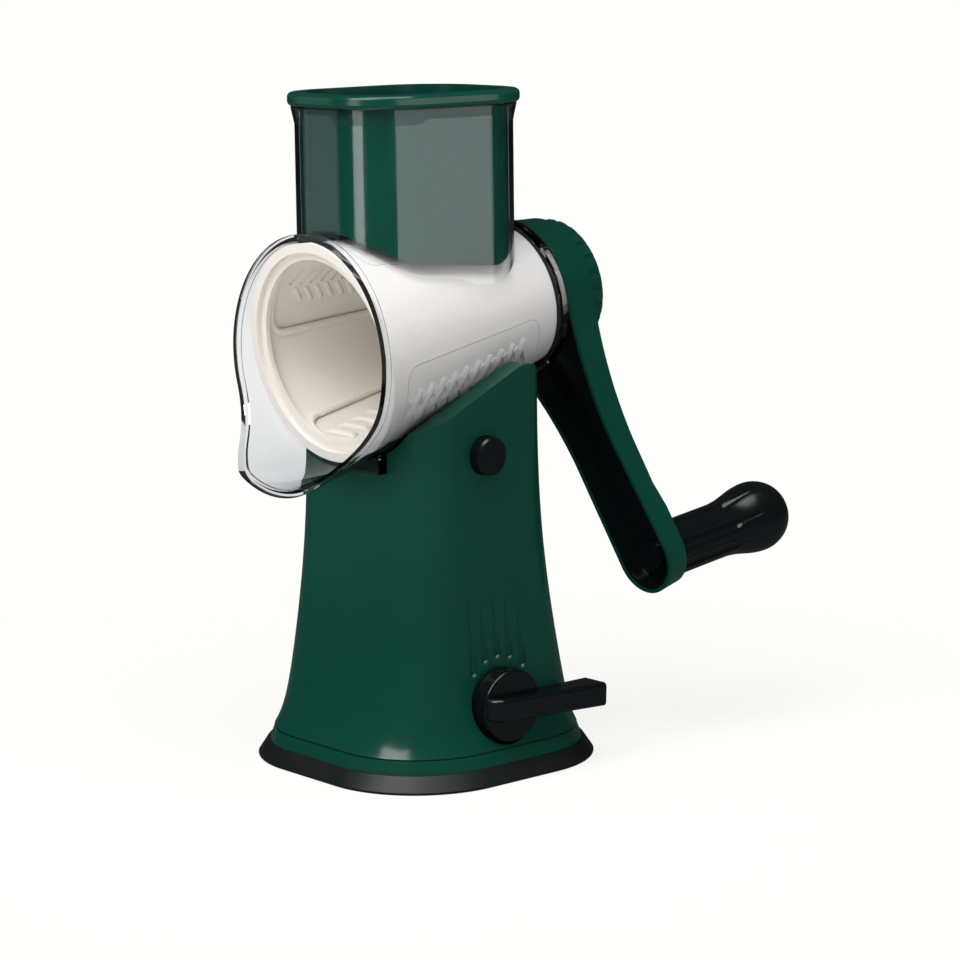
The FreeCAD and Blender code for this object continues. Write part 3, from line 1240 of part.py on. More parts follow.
def crank_arm():
    """The green shell: open towards the machine, with a hub boss and a handle boss."""
    solid = crank_prism(0.0, size("crank_front"), 0.0)
    channel = crank_prism(size("crank_rim"), size("crank_front") - 1, size("crank_back"))
    boss = hub_rod(size("crank_boss"), size("crank_front") + 3, size("crank_rear"))
    boss = boss.common(solid)
    handle_boss = handle_rod(size("grip_radius") - 1.5, ARM_BACK - size("crank_back") / 2, BOSS_BACK)
    shell = solid.cut(channel).fuse([boss, handle_boss])
    bore = hub_rod(size("neck_radius") + 0.1, 0, size("crank_rear") - size("crank_back"))
    bolt_hole = hub_rod(size("bolt_radius") + 0.1, 0, REACH)
    pin_hole = handle_rod(size("pin_radius") + size("running_gap"), -REACH / 2, REACH / 2)
    return shell.cut([bore, bolt_hole, pin_hole]).removeSplitter()


def crank_liner():
    """The black lining of the crank's open side."""
    wall = size("liner_wall")
    solid = crank_prism(LINER_OUTSET, size("crank_front") + size("liner_inset"), size("crank_back"))
    channel = crank_prism(LINER_OUTSET + wall, size("crank_front") - 1, size("crank_back") + wall)
    boss = hub_rod(size("crank_boss") + 0.1, 0, REACH)
    pin_hole = handle_rod(size("pin_radius") + 0.2, -REACH / 2, REACH / 2)
    return solid.cut(channel).cut([boss, pin_hole]).removeSplitter()


feature("crank_arm", crank_arm(), CRANK_FRAME)
feature("crank_liner", crank_liner(), CRANK_FRAME)


def hub_nut():
    """A scalloped hand nut with a narrow neck against the crank."""
    rear = size("crank_rear")
    back = rear + size("nut_height")
    groove_high = rear + 1.0
    neck_part = hub_rod(size("nut_radius") - size("nut_groove") - 1.5, rear, groove_high + 0.2)
    head = hub_rod(size("nut_radius"), groove_high, back)
    head = head.makeFillet(1.6, [e for e in head.Edges if len(e.Vertexes) == 1 and abs(e.BoundBox.YMin - back) < 1e-6
                                 and e.BoundBox.YLength < 1e-6])
    dish = hub_rod(size("nut_radius") - 6, back - 1.2, back + 1)
    cuts = [dish, hub_rod(size("bolt_radius") + size("press_gap"), 0, back - 2)]
    count = int(size("scallop_count"))
    reach = size("nut_radius") + size("scallop_radius") - size("scallop_depth")
    for i in range(count):
        angle = 2 * math.pi * i / count
        start = Vector(reach * math.cos(angle), groove_high - 1, reach * math.sin(angle))
        cuts.append(Part.makeCylinder(size("scallop_radius"), size("nut_height") + 3, start, Vector(0, 1, 0)))
    return neck_part.fuse(head).cut(cuts).removeSplitter()


feature("hub_nut", hub_nut(), DRUM_FRAME)

# Handle: a shoulder pin, a washer, the turning grip and its end cap

LINER_FLOOR = ARM_BACK - size("crank_back") - size("liner_wall")
WASHER_START = BOSS_BACK + 0.05
GRIP_START = WASHER_START + size("washer_height") + size("seat_gap")
GRIP_END = ARM_BACK + size("handle_length") - size("cap_length")
TIP = ARM_BACK + size("handle_length")
CAVITY = GRIP_END - 8
LOCK_HEIGHT = 3.0


def handle_turned(points):
    """A solid of revolution round the handle axis from (radius, distance) points."""
    corners = [Vector(radius, along, 0) for radius, along in points]
    return Part.Face(Part.makePolygon(corners + corners[:1])).revolve(Vector(0, 0, 0), Vector(0, 1, 0), 360)


pin_radius = size("pin_radius")
pin_bore = pin_radius + size("press_gap")
feature("handle_pin", handle_turned([
    (0, LINER_FLOOR - size("pin_head_height")), (size("pin_head_radius"), LINER_FLOOR - size("pin_head_height")),
    (size("pin_head_radius"), LINER_FLOOR - 0.3), (pin_radius, LINER_FLOOR - 0.3),
    (pin_radius, CAVITY + LOCK_HEIGHT + 1), (0, CAVITY + LOCK_HEIGHT + 1)]), HANDLE_FRAME)
feature("handle_washer", handle_turned([
    (pin_bore, WASHER_START), (size("grip_radius") - 2, WASHER_START),
    (size("grip_radius") - 2, WASHER_START + size("washer_height")),
    (pin_bore, WASHER_START + size("washer_height"))]), HANDLE_FRAME)
feature("pin_lock", handle_turned([
    (pin_bore, CAVITY + size("seat_gap")), (pin_radius + 3, CAVITY + size("seat_gap")),
    (pin_radius + 3, CAVITY + LOCK_HEIGHT), (pin_bore, CAVITY + LOCK_HEIGHT)]), HANDLE_FRAME)


def grip_radius_at(along):
    """The grip's radius: an even neck, then a smooth swelling to the bulge at its end."""
    swell = max(0.0, (along - ARM_BACK - size("neck_length")) / (GRIP_END - ARM_BACK - size("neck_length")))
    rise = 0.5 - 0.5 * math.cos(math.pi * min(1.0, swell))
    return size("grip_radius") + (size("bulge_radius") - size("grip_radius")) * rise


def handle_grip():
    """The black grip with flutes that run out on its swelling."""
    steps = 8
    neck_end = ARM_BACK + size("neck_length")
    places = [neck_end + (GRIP_END - neck_end) * i / steps for i in range(steps + 1)]
    side = Part.BSplineCurve()
    side.interpolate([Vector(grip_radius_at(along), along, 0) for along in places],
                     InitialTangent=Vector(0, 1, 0), FinalTangent=Vector(0, 1, 0))
    bore = size("pin_radius") + size("running_gap")
    cavity = size("pin_radius") + 4
    corners = [Vector(size("bulge_radius"), GRIP_END, 0), Vector(cavity, GRIP_END, 0), Vector(cavity, CAVITY, 0),
               Vector(bore, CAVITY, 0), Vector(bore, GRIP_START, 0), Vector(size("grip_radius"), GRIP_START, 0),
               Vector(size("grip_radius"), neck_end, 0)]
    edges = [side.toShape()] + [Part.LineSegment(a, b).toShape() for a, b in zip(corners, corners[1:])]
    solid = Part.Face(Part.Wire(Part.__sortEdges__(edges))).revolve(Vector(0, 0, 0), Vector(0, 1, 0), 360)
    cutter = size("flute_radius")
    out = size("grip_radius") + cutter - size("flute_depth")
    end = ARM_BACK + size("flute_end")
    flutes = []
    for i in range(int(size("flute_count"))):
        angle = 2 * math.pi * (i + 0.5) / size("flute_count")
        outwards = Vector(math.cos(angle), 0, math.sin(angle))
        start = outwards * out + Vector(0, GRIP_START - 1, 0)
        bend = outwards * out + Vector(0, neck_end, 0)
        point = outwards * (grip_radius_at(end) + 0.3) + Vector(0, end, 0)
        flutes.append(Part.makeCylinder(cutter, neck_end - GRIP_START + 1, start, Vector(0, 1, 0)))
        flutes.append(Part.makeSphere(cutter, bend))
        flutes.append(Part.makeCone(cutter, 0.3, (point - bend).Length, bend, point - bend))
    return solid.cut(flutes)


def handle_cap():
    """The domed cap that closes the grip, with a plug in the grip's cavity."""
    edge_radius = size("bulge_radius")
    plug = size("pin_radius") + 4 - 0.1
    corners = [Vector(0, TIP, 0), Vector(0, GRIP_END + 3, 0), Vector(plug - 2, GRIP_END + 3, 0),
               Vector(plug - 2, GRIP_END - 2.5, 0), Vector(plug, GRIP_END - 2.5, 0), Vector(plug, GRIP_END, 0),
               Vector(edge_radius, GRIP_END, 0)]
    edges = [Part.LineSegment(a, b).toShape() for a, b in zip(corners, corners[1:])]
    steps = 4
    quarter = [math.pi / 2 * i / steps for i in range(steps + 1)]
    dome = Part.BSplineCurve()
    dome.interpolate([Vector(edge_radius * math.cos(turn), GRIP_END + size("cap_length") * math.sin(turn), 0)
                      for turn in quarter], InitialTangent=Vector(0, 1, 0), FinalTangent=Vector(-1, 0, 0))
    edges.append(dome.toShape())
    return Part.Face(Part.Wire(Part.__sortEdges__(edges))).revolve(Vector(0, 0, 0), Vector(0, 1, 0), 360)


feature("handle_grip", handle_grip(), HANDLE_FRAME)
feature("handle_cap", handle_cap(), HANDLE_FRAME)

# Checks, then one file for each sub-part

doc.recompute()
faults = []
for thing in doc.Objects:
    if "Invalid" in thing.State or "Error" in thing.State:
        faults.append(f"{thing.Label}: {thing.State}")
for thing in nodes:
    shape = thing.Shape
    if shape.isNull() or not shape.isValid() or not shape.Solids:
        faults.append(f"{thing.Label}: no valid solid")
if faults:
    raise RuntimeError("; ".join(faults))

os.makedirs("parts", exist_ok=True)
for thing in nodes:
    thing.Shape.exportStep(f"parts/{thing.Label}.step")
    box = thing.Shape.BoundBox
    print(f"{thing.Label}: {len(thing.Shape.Solids)} solid, {thing.Shape.Volume / 1000:.2f} cm3,",
          f"x {box.XMin:.1f} to {box.XMax:.1f}, y {box.YMin:.1f} to {box.YMax:.1f}, z {box.ZMin:.1f} to {box.ZMax:.1f}")
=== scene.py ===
# %% [markdown]
# A hand-cranked drum shredder stands on a white table. The CAD part is loaded first and stays
# fixed: it says where every piece is. Blender then gives each piece its smooth skin and its
# finish. Lengths are in metres, +Z is up, the open mouth faces -Y and the lever side is +X.

import math

import bmesh
import bpy
import numpy as np
from mathutils import Matrix, Vector


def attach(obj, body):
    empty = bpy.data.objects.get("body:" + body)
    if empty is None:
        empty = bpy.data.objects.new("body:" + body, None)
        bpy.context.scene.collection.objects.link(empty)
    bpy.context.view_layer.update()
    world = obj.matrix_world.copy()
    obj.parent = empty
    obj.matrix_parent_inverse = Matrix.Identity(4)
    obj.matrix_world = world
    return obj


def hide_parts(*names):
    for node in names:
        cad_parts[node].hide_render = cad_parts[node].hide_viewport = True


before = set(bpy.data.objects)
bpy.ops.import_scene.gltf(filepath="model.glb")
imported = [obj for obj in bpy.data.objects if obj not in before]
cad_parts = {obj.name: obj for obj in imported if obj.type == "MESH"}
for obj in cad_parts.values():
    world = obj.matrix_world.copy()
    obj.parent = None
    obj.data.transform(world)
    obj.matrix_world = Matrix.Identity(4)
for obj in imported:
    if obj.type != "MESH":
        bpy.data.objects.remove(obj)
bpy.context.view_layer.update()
MM = 0.001

# %% [markdown]
# The photograph was taken with a long lens, a little above the object and off its front corner.
# A camera looks along its own -Z axis, so its matrix is built from the three directions: right,
# up and back. The lens was worked out from how quickly the base narrows with distance.

# %% Camera
CAMERA_TURN = math.radians(49.24)
CAMERA_RISE = math.radians(10.04)
CAMERA_ROLL = math.radians(-0.70)
CAMERA_DISTANCE = 1.32851
CAMERA_SHIFT_RIGHT = 0.02255
CAMERA_SHIFT_UP = 0.11319
LENS_MM = 119.2

back = Vector((math.sin(CAMERA_TURN) * math.cos(CAMERA_RISE),
               -math.cos(CAMERA_TURN) * math.cos(CAMERA_RISE),
               math.sin(CAMERA_RISE)))
level_right = (-back).cross(Vector((0, 0, 1))).normalized()
level_up = level_right.cross(-back)
right = math.cos(CAMERA_ROLL) * level_right + math.sin(CAMERA_ROLL) * level_up
up = math.cos(CAMERA_ROLL) * level_up - math.sin(CAMERA_ROLL) * level_right
place = back * CAMERA_DISTANCE + right * CAMERA_SHIFT_RIGHT + up * CAMERA_SHIFT_UP

camera_data = bpy.data.cameras.new("camera")
camera_data.lens = LENS_MM
camera_data.sensor_width = 36.0
camera_data.clip_start = 0.01
camera_data.clip_end = 50.0
camera = bpy.data.objects.new("camera", camera_data)
bpy.context.scene.collection.objects.link(camera)
camera.matrix_world = Matrix((
    (right.x, up.x, back.x, place.x),
    (right.y, up.y, back.y, place.y),
    (right.z, up.z, back.z, place.z),
    (0, 0, 0, 1)))
bpy.context.scene.camera = camera
bpy.context.scene.view_settings.view_transform = "Standard"
print("camera at", [round(value, 3) for value in place])

# %% [markdown]
# Every finish below is a small graph of nodes. One function adds a node, fills in its settings
# and links its inputs, so that a material reads as a list of what it is made of. Colours are
# written as the hex values a paint program shows and are turned to linear light once.

# %% Colour and node helpers
def linear(hex_colour):
    """sRGB hex to linear: below 0.04045 a straight line, above it a power of 2.4."""
    channels = [int(hex_colour[i:i + 2], 16) / 255 for i in (1, 3, 5)]
    light = [c / 12.92 if c <= 0.04045 else ((c + 0.055) / 1.055) ** 2.4 for c in channels]
    return (*light, 1.0)


def add(material, kind, settings=None, numbered=None, **inputs):
    """Add one node; a value fills a socket, a socket is linked to it. Names use _ for a space."""
    tree = material.node_tree
    node = tree.nodes.new(kind)
    for name, value in (settings or {}).items():
        setattr(node, name, value)
    places = {name.replace("_", " "): value for name, value in inputs.items()}
    places.update(numbered or {})
    for place, value in places.items():
        if isinstance(value, bpy.types.NodeSocket):
            tree.links.new(value, node.inputs[place])
        else:
            node.inputs[place].default_value = value
    return node


def new_material(name):
    """An empty node material."""
    material = bpy.data.materials.new(name)
    material.use_nodes = True
    material.node_tree.nodes.clear()
    return material


def finish_with(material, surface):
    """Link a shader's output socket to the material output."""
    add(material, "ShaderNodeOutputMaterial", Surface=surface)
    return material


def per_metre(size_mm):
    """A noise scale whose blotches are about this many millimetres across."""
    return 1.0 / (size_mm * MM)


MIX_FIRST, MIX_SECOND, MIX_RESULT = 6, 7, 2


def colour_choice(material, factor, colour, other):
    """One colour where the factor is 0 and the other where it is 1."""
    mix = add(material, "ShaderNodeMix", {"data_type": "RGBA"}, {MIX_FIRST: colour, MIX_SECOND: other},
              Factor=factor)
    return mix.outputs[MIX_RESULT]


def seen_at(material):
    """The socket with places in the object's own coordinates."""
    return add(material, "ShaderNodeTexCoord").outputs["Object"]


print("white is", linear("#FFFFFF"))

# %% [markdown]
# The body, the pusher and the crank are moulded ABS in a dark bottle green. ABS comes out of a
# polished mould glossy but never perfectly flat: it keeps a faint long ripple from cooling and a
# fine grain. A slow noise shifts the colour a little, as pigment does in a thick moulding.

# %% Moulded plastic
DRIFT_MM, GLOSS_MM, GRAIN_MM = 45, 6, 0.9
GRAIN_HEIGHT_MM = 0.02


def moulded_plastic(name, colour_hex, deep_hex, roughness, ripple_mm, ripple_height_mm, ior=1.5):
    """Solid-coloured moulding: pigment drift, slightly uneven gloss, grain and cooling ripple."""
    material = new_material(name)
    here = seen_at(material)
    drift = add(material, "ShaderNodeTexNoise", Vector=here, Scale=per_metre(DRIFT_MM), Detail=3.0)
    pigment = colour_choice(material, drift.outputs["Fac"], linear(deep_hex), linear(colour_hex))
    gloss = add(material, "ShaderNodeTexNoise", Vector=here, Scale=per_metre(GLOSS_MM), Detail=4.0)
    gloss_range = add(material, "ShaderNodeMapRange", Value=gloss.outputs["Fac"],
                      To_Min=roughness * 0.85, To_Max=roughness * 1.15)
    ripple = add(material, "ShaderNodeTexNoise", Vector=here, Scale=per_metre(ripple_mm), Detail=1.0)
    long_wave = add(material, "ShaderNodeBump", Height=ripple.outputs["Fac"], Strength=1.0,
                    Distance=ripple_height_mm * MM)
    grain = add(material, "ShaderNodeTexNoise", Vector=here, Scale=per_metre(GRAIN_MM), Detail=2.0)
    skin = add(material, "ShaderNodeBump", Height=grain.outputs["Fac"], Strength=0.12,
               Distance=GRAIN_HEIGHT_MM * MM, Normal=long_wave.outputs["Normal"])
    shader = add(material, "ShaderNodeBsdfPrincipled", Base_Color=pigment,
                 Roughness=gloss_range.outputs["Result"], IOR=ior, Normal=skin.outputs["Normal"])
    return finish_with(material, shader.outputs["BSDF"])


green_abs = moulded_plastic("dark_green_abs", "#084034", "#06382D", 0.2, 30, 0.05)
black_abs = moulded_plastic("black_abs", "#0B1012", "#080C0D", 0.2, 18, 0.03)
ivory_plastic = moulded_plastic("off_white_polypropylene", "#F1ECE6", "#EDE7DF", 0.34, 25, 0.04, 1.49)
grey_acetal = moulded_plastic("grey_acetal", "#77797B", "#6B6D70", 0.45, 12, 0.02, 1.48)
print("mouldings", green_abs.name, black_abs.name, ivory_plastic.name, grey_acetal.name)

# %% [markdown]
# The base ring is moulded rubber. It is matt because its mould is blasted, and it greys a little
# where it rubs on the table, so the roughness is high and a fine pebble grain breaks the light.

# %% Rubber
WEAR_MM = 14
PEBBLE_HEIGHT_MM = 0.05


def moulded_rubber(name, colour_hex, worn_hex, grain_mm):
    """Satin rubber: pebble grain in the bump and worn patches in the colour."""
    material = new_material(name)
    here = seen_at(material)
    wear = add(material, "ShaderNodeTexNoise", Vector=here, Scale=per_metre(WEAR_MM), Detail=5.0)
    patch = add(material, "ShaderNodeMapRange", Value=wear.outputs["Fac"], From_Min=0.45, From_Max=0.75)
    tint = colour_choice(material, patch.outputs["Result"], linear(colour_hex), linear(worn_hex))
    pebbles = add(material, "ShaderNodeTexVoronoi", Vector=here, Scale=per_metre(grain_mm))
    skin = add(material, "ShaderNodeBump", Height=pebbles.outputs["Distance"], Strength=0.25,
               Distance=PEBBLE_HEIGHT_MM * MM)
    shader = add(material, "ShaderNodeBsdfPrincipled", Base_Color=tint, Roughness=0.48, IOR=1.52,
                 Normal=skin.outputs["Normal"])
    return finish_with(material, shader.outputs["BSDF"])


ring_rubber = moulded_rubber("black_moulded_rubber", "#0C1011", "#14191A", 0.8)
pad_rubber = moulded_rubber("dark_suction_rubber", "#15191A", "#1E2324", 1.2)
print("rubbers", ring_rubber.name, pad_rubber.name)

# %% [markdown]
# The housing is SAN, the hard clear plastic of food boxes. Its faces let nearly all light
# through, and its cut edges and steep sides gather a cool grey, because there the eye looks
# along the wall instead of across it. Layer Weight gives that: it is 0 face on and 1 edge on.

# %% Clear plastic
FLOW_MM = 22
FLOW_HEIGHT_MM = 0.03


def clear_plastic(name, face_hex, edge_hex):
    """Clear moulding: tinted where seen edge on, with a faint flow ripple in its surface."""
    material = new_material(name)
    edge_on = add(material, "ShaderNodeLayerWeight", Blend=0.45)
    tint = colour_choice(material, edge_on.outputs["Facing"], linear(face_hex), linear(edge_hex))
    flow = add(material, "ShaderNodeTexNoise", Vector=seen_at(material), Scale=per_metre(FLOW_MM),
               Detail=1.0)
    skin = add(material, "ShaderNodeBump", Height=flow.outputs["Fac"], Strength=0.6,
               Distance=FLOW_HEIGHT_MM * MM)
    shader = add(material, "ShaderNodeBsdfPrincipled", Base_Color=tint, Roughness=0.015, IOR=1.45,
                 Transmission_Weight=1.0, Normal=skin.outputs["Normal"])
    return finish_with(material, shader.outputs["BSDF"])


clear_san = clear_plastic("clear_san", "#F7F8F9", "#8E96A8")
print("clear", clear_san.name)

# %% [markdown]
# Bolt, screws, washer, spring and lever shaft are drawn steel. Turning and drawing leave fine
# rings, so the roughness is stretched noise rather than an even value.

# %% Steel
STREAK_MM = 2.5
STREAK_STRETCH = (1.0, 12.0, 1.0)


def drawn_steel(name, colour_hex):
    """Plain steel with fine streaks in its gloss."""
    material = new_material(name)
    stretched = add(material, "ShaderNodeMapping", Vector=seen_at(material), Scale=STREAK_STRETCH)
    streaks = add(material, "ShaderNodeTexNoise", Vector=stretched.outputs["Vector"],
                  Scale=per_metre(STREAK_MM), Detail=3.0)
    gloss = add(material, "ShaderNodeMapRange", Value=streaks.outputs["Fac"], To_Min=0.22, To_Max=0.42)
    shader = add(material, "ShaderNodeBsdfPrincipled", Base_Color=linear(colour_hex), Metallic=1.0,
                 Roughness=gloss.outputs["Result"])
    return finish_with(material, shader.outputs["BSDF"])


steel = drawn_steel("drawn_steel", "#B9BBBD")
print("steel", steel.name)

# %% [markdown]
# A CAD node is a net of loose triangles, so light shows every facet. A copy is merged, its
# round faces are shaded smooth and only real corners stay sharp. Weighted Normal then keeps
# large flat faces flat beside their small roundings. The copy replaces the node in the picture.

# %% Smooth skin for a CAD node
MERGE = 0.002 * MM
SHARP = math.radians(32.0)


def dress(node, piece, body, material):
    """A merged, smoothly shaded copy of a CAD node that stands in for it."""
    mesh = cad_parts[node].data.copy()
    mesh.name = piece
    shape = bmesh.new()
    shape.from_mesh(mesh)
    bmesh.ops.remove_doubles(shape, verts=shape.verts, dist=MERGE)
    for edge in shape.edges:
        edge.smooth = edge.is_manifold and edge.calc_face_angle(0.0) < SHARP
    for face in shape.faces:
        face.smooth = True
    shape.to_mesh(mesh)
    shape.free()
    mesh.materials.clear()
    mesh.materials.append(material)
    thing = bpy.data.objects.new(piece, mesh)
    bpy.context.scene.collection.objects.link(thing)
    flat_first = thing.modifiers.new("flat_first", "WEIGHTED_NORMAL")
    flat_first.keep_sharp = True
    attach(thing, body)
    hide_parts(node)
    return thing


DRESSED = [
    ("tower_shell", "green_tower", "stand", "green_plastic", green_abs),
    ("base_ring", "rubber_ring", "stand", "black_rubber", ring_rubber),
    ("clear_housing", "clear_barrel", "stand", "clear_plastic", clear_san),
    ("rear_bush", "white_bush", "stand", "white_plastic", ivory_plastic),
    ("pusher", "green_pusher", "pusher", "green_plastic", green_abs),
    ("drum_frame", "white_drum", "crank", "white_plastic", ivory_plastic),
    ("slicing_insert", "white_slicer", "crank", "white_plastic", ivory_plastic),
    ("grating_insert", "white_grater", "crank", "white_plastic", ivory_plastic),
    ("drum_neck", "white_neck", "crank", "white_plastic", ivory_plastic),
    ("crank_arm", "green_crank", "crank", "green_plastic", green_abs),
    # The black liner in the crank arm's hollow channel is painted shade: it makes the recess as dark as
    # its shadow.
    ("crank_liner", "painted_shade_channel", "crank", "black_plastic", black_abs),
    ("hub_nut", "green_nut", "crank", "green_plastic", green_abs),
    ("handle_pin", "black_pin", "crank", "black_plastic", black_abs),
    ("handle_washer", "black_washer", "crank", "black_plastic", black_abs),
    ("handle_grip", "black_grip", "grip", "black_plastic", black_abs),
    ("handle_cap", "black_cap", "grip", "black_plastic", black_abs),
    ("lever_knob", "black_lever", "lever", "black_plastic", black_abs),
    ("release_button", "black_button", "button", "black_plastic", black_abs),
    ("latch_frame", "black_latch", "button", "black_plastic", black_abs),
]
for node, piece, body, slot, material in DRESSED:
    thing = dress(node, piece, body, material)
    thing.visible_shadow = material is not clear_san  # lamplight passes through clear plastic

PLAIN = {
    "base_plate": black_abs, "base_screws": steel, "suction_pad": pad_rubber, "suction_stem": grey_acetal,
    "suction_cam": grey_acetal, "lever_shaft": steel, "shaft_cap": grey_acetal, "button_spring": steel,
    "hub_bolt": steel, "pin_lock": steel,
}
for node, material in PLAIN.items():
    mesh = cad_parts[node].data
    mesh.materials.clear()
    mesh.materials.append(material)
print("dressed", len(DRESSED), "and left plain", len(PLAIN))

# %% [markdown]
# The drum is moulded in a tool with many small hollows: a rounded lip frames each insert on the
# inside, raised teeth and ribs stand beside the slots, and a row of rounded petals runs along the
# outside. They are too soft for the solid model, so each is a surface of its own, half sunk in
# the wall. All of them are drawn on the drum's cone by an angle round it and a way along it.

# %% Relief of the drum
AXIS_HEIGHT = 179.7
AXIS_TILT = math.radians(8.0)
DRUM_FRONT, DRUM_FRONT_RADIUS = -52.0, 44.8
DRUM_SLOPE = math.tan(math.radians(8.6))
WINDOW_ALONG = (-44.0, 37.0)
WINDOW_SPAN = 122.0
WINDOW_MIDDLES = (114.0, 294.0)
WINDOW_CORNER = 6.0


def on_drum(angle, along, depth):
    """Points at a depth under the cone r(y) = R - m (y - y0), turned up by the axis tilt, in metres."""
    radius = DRUM_FRONT_RADIUS - DRUM_SLOPE * (along - DRUM_FRONT) - depth
    across, rise = radius * np.cos(angle), radius * np.sin(angle)
    back = along * math.cos(AXIS_TILT) - rise * math.sin(AXIS_TILT)
    high = along * math.sin(AXIS_TILT) + rise * math.cos(AXIS_TILT) + AXIS_HEIGHT
    return np.stack([across, back, high], axis=-1) * MM


def grid_faces(rows, columns, wrap_rows, wrap_columns):
    """Quads of a grid of rows x columns points; a wrapped direction closes on itself."""
    last_row = rows if wrap_rows else rows - 1
    last_column = columns if wrap_columns else columns - 1
    i, j = np.meshgrid(np.arange(last_row), np.arange(last_column), indexing="ij")
    down, over = (i + 1) % rows, (j + 1) % columns
    here, below = i * columns, down * columns
    return np.stack([here + j, below + j, below + over, here + over], axis=-1).reshape(-1, 4)


def relief(piece, parts, material):
    """One smooth mesh from (points, faces) pairs, riding with the crank."""
    starts = np.cumsum([0] + [len(points) for points, faces in parts])
    points = np.concatenate([points for points, faces in parts])
    faces = np.concatenate([faces + start for (_, faces), start in zip(parts, starts)])
    mesh = bpy.data.meshes.new(piece)
    mesh.from_pydata(points.tolist(), [], faces.tolist())
    mesh.shade_smooth()
    mesh.materials.append(material)
    thing = bpy.data.objects.new(piece, mesh)
    bpy.context.scene.collection.objects.link(thing)
    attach(thing, "crank")
    return thing


SLANT = math.radians(28.0)
PILLOW_STEPS = 13
SUNK_EDGE = 0.25


def pillow(angle, along, length, width, height, wall, outward):
    """A raised slanted pad, u and v in -1..1: depth = wall +- (h ((1-u^4)(1-v^2))^(1/2) - s)."""
    side = np.sin(np.linspace(-math.pi / 2, math.pi / 2, PILLOW_STEPS))
    u, v = np.meshgrid(side, side, indexing="ij")
    round_way = (u * length * math.cos(SLANT) - v * width * math.sin(SLANT)) / 2
    axis_way = (u * length * math.sin(SLANT) + v * width * math.cos(SLANT)) / 2
    here = along + axis_way
    radius = DRUM_FRONT_RADIUS - DRUM_SLOPE * (here - DRUM_FRONT)
    lift = height * np.sqrt((1 - u ** 4) * (1 - v ** 2)) - SUNK_EDGE
    depth = wall - lift if outward else wall + lift
    points = on_drum(math.radians(angle) + round_way / radius, here, depth)
    faces = grid_faces(PILLOW_STEPS, PILLOW_STEPS, False, False)
    return points.reshape(-1, 3), faces[:, ::-1] if outward else faces


MEAN_RADIUS = 34.8
CORNER_STEPS, SIDE_STEPS, TUBE_STEPS = 9, 24, 12


def lip(middle, grow, thick, wall):
    """A tube round an insert: its centre follows a rounded rectangle unrolled on the drum's cone."""
    front, rear = WINDOW_ALONG[0] - grow, WINDOW_ALONG[1] + grow
    corner = WINDOW_CORNER
    turn = np.linspace(0, math.pi / 2, CORNER_STEPS)
    half_way = (rear - front) / 2 - corner
    half_round = math.radians(WINDOW_SPAN / 2) * MEAN_RADIUS + grow - corner
    corners = [(half_round, half_way, 0), (-half_round, half_way, 1), (-half_round, -half_way, 2),
               (half_round, -half_way, 3)]
    x = np.concatenate([cx + corner * np.cos(turn + quarter * math.pi / 2) for cx, cy, quarter in corners])
    y = np.concatenate([cy + corner * np.sin(turn + quarter * math.pi / 2) for cx, cy, quarter in corners])
    way = np.linspace(0, 1, SIDE_STEPS + 1)[:-1]
    ends = np.roll(x, -1), np.roll(y, -1)
    x = (x[:, None] + (ends[0] - x)[:, None] * way).ravel()
    y = (y[:, None] + (ends[1] - y)[:, None] * way).ravel()
    ahead = np.stack([np.roll(x, -1) - np.roll(x, 1), np.roll(y, -1) - np.roll(y, 1)])
    ahead = ahead / np.linalg.norm(ahead, axis=0)
    around = np.linspace(0, 2 * math.pi, TUBE_STEPS + 1)[:-1]
    side = thick * np.cos(around)
    x = x[:, None] + ahead[1][:, None] * side
    y = y[:, None] - ahead[0][:, None] * side
    depth = wall + thick * np.sin(around) + 0 * x
    points = on_drum(math.radians(middle) + x / MEAN_RADIUS, (front + rear) / 2 + y, depth)
    rows = points.shape[0]
    return points.reshape(-1, 3), grid_faces(rows, len(around), True, True)


OUTSIDE, INSERT_WALL, FRAME_WALL = 0.0, 2.0, 3.0
TOOTH_PITCH, TOOTH_START = 7.0, -38.9
SLIT_PITCH, SLIT_START = 4.9, -32.6
tooth_places = [TOOTH_START + i * TOOTH_PITCH for i in range(10)]
slit_places = [SLIT_START + i * SLIT_PITCH for i in range(14)]
INNER_TOOTH_SHIFT = 1.5

petals = [pillow(-28.0, along, 15.0, 4.3, 1.15, OUTSIDE, True) for along in tooth_places]
relief("white_petals", petals, ivory_plastic)
lips = [lip(middle, 1.2, 1.5, FRAME_WALL) for middle in WINDOW_MIDDLES]
relief("white_lips", lips, ivory_plastic)
ribs = [pillow(155.0, along, 9.0, 2.6, 1.1, INSERT_WALL, False) for along in slit_places]
teeth = [pillow(-108.0, along + INNER_TOOTH_SHIFT, 14.0, 4.4, 2.2, INSERT_WALL, False)
         for along in tooth_places]
relief("white_teeth", ribs + teeth, ivory_plastic)
print("petals", len(petals), "lips", len(lips), "ribs and teeth", len(ribs) + len(teeth))

# %% [markdown]
# A product shot on white is a floor that runs far behind the object, with soft boxes standing on
# it. The camera and the clear plastic see that floor as plain white, and only a soft shadow near
# the base stays. Polished plastic mirrors a dim room instead: a studio is dark outside its lamps,
# and that keeps the greens and blacks deep.

# %% Floor and world
WHITE = linear("#FFFFFC")
ROOM_STRENGTH = 0.38
ROOM_MIRRORED = linear("#4A5250")
FLOOR_PAINT = linear("#F4F4F1")
FLOOR_MIRRORED = linear("#5C6361")
NEAR_GLOW = 0.78
SHADOW_REACH = (0.16, 0.34)
FLOOR_REACH = 6.0


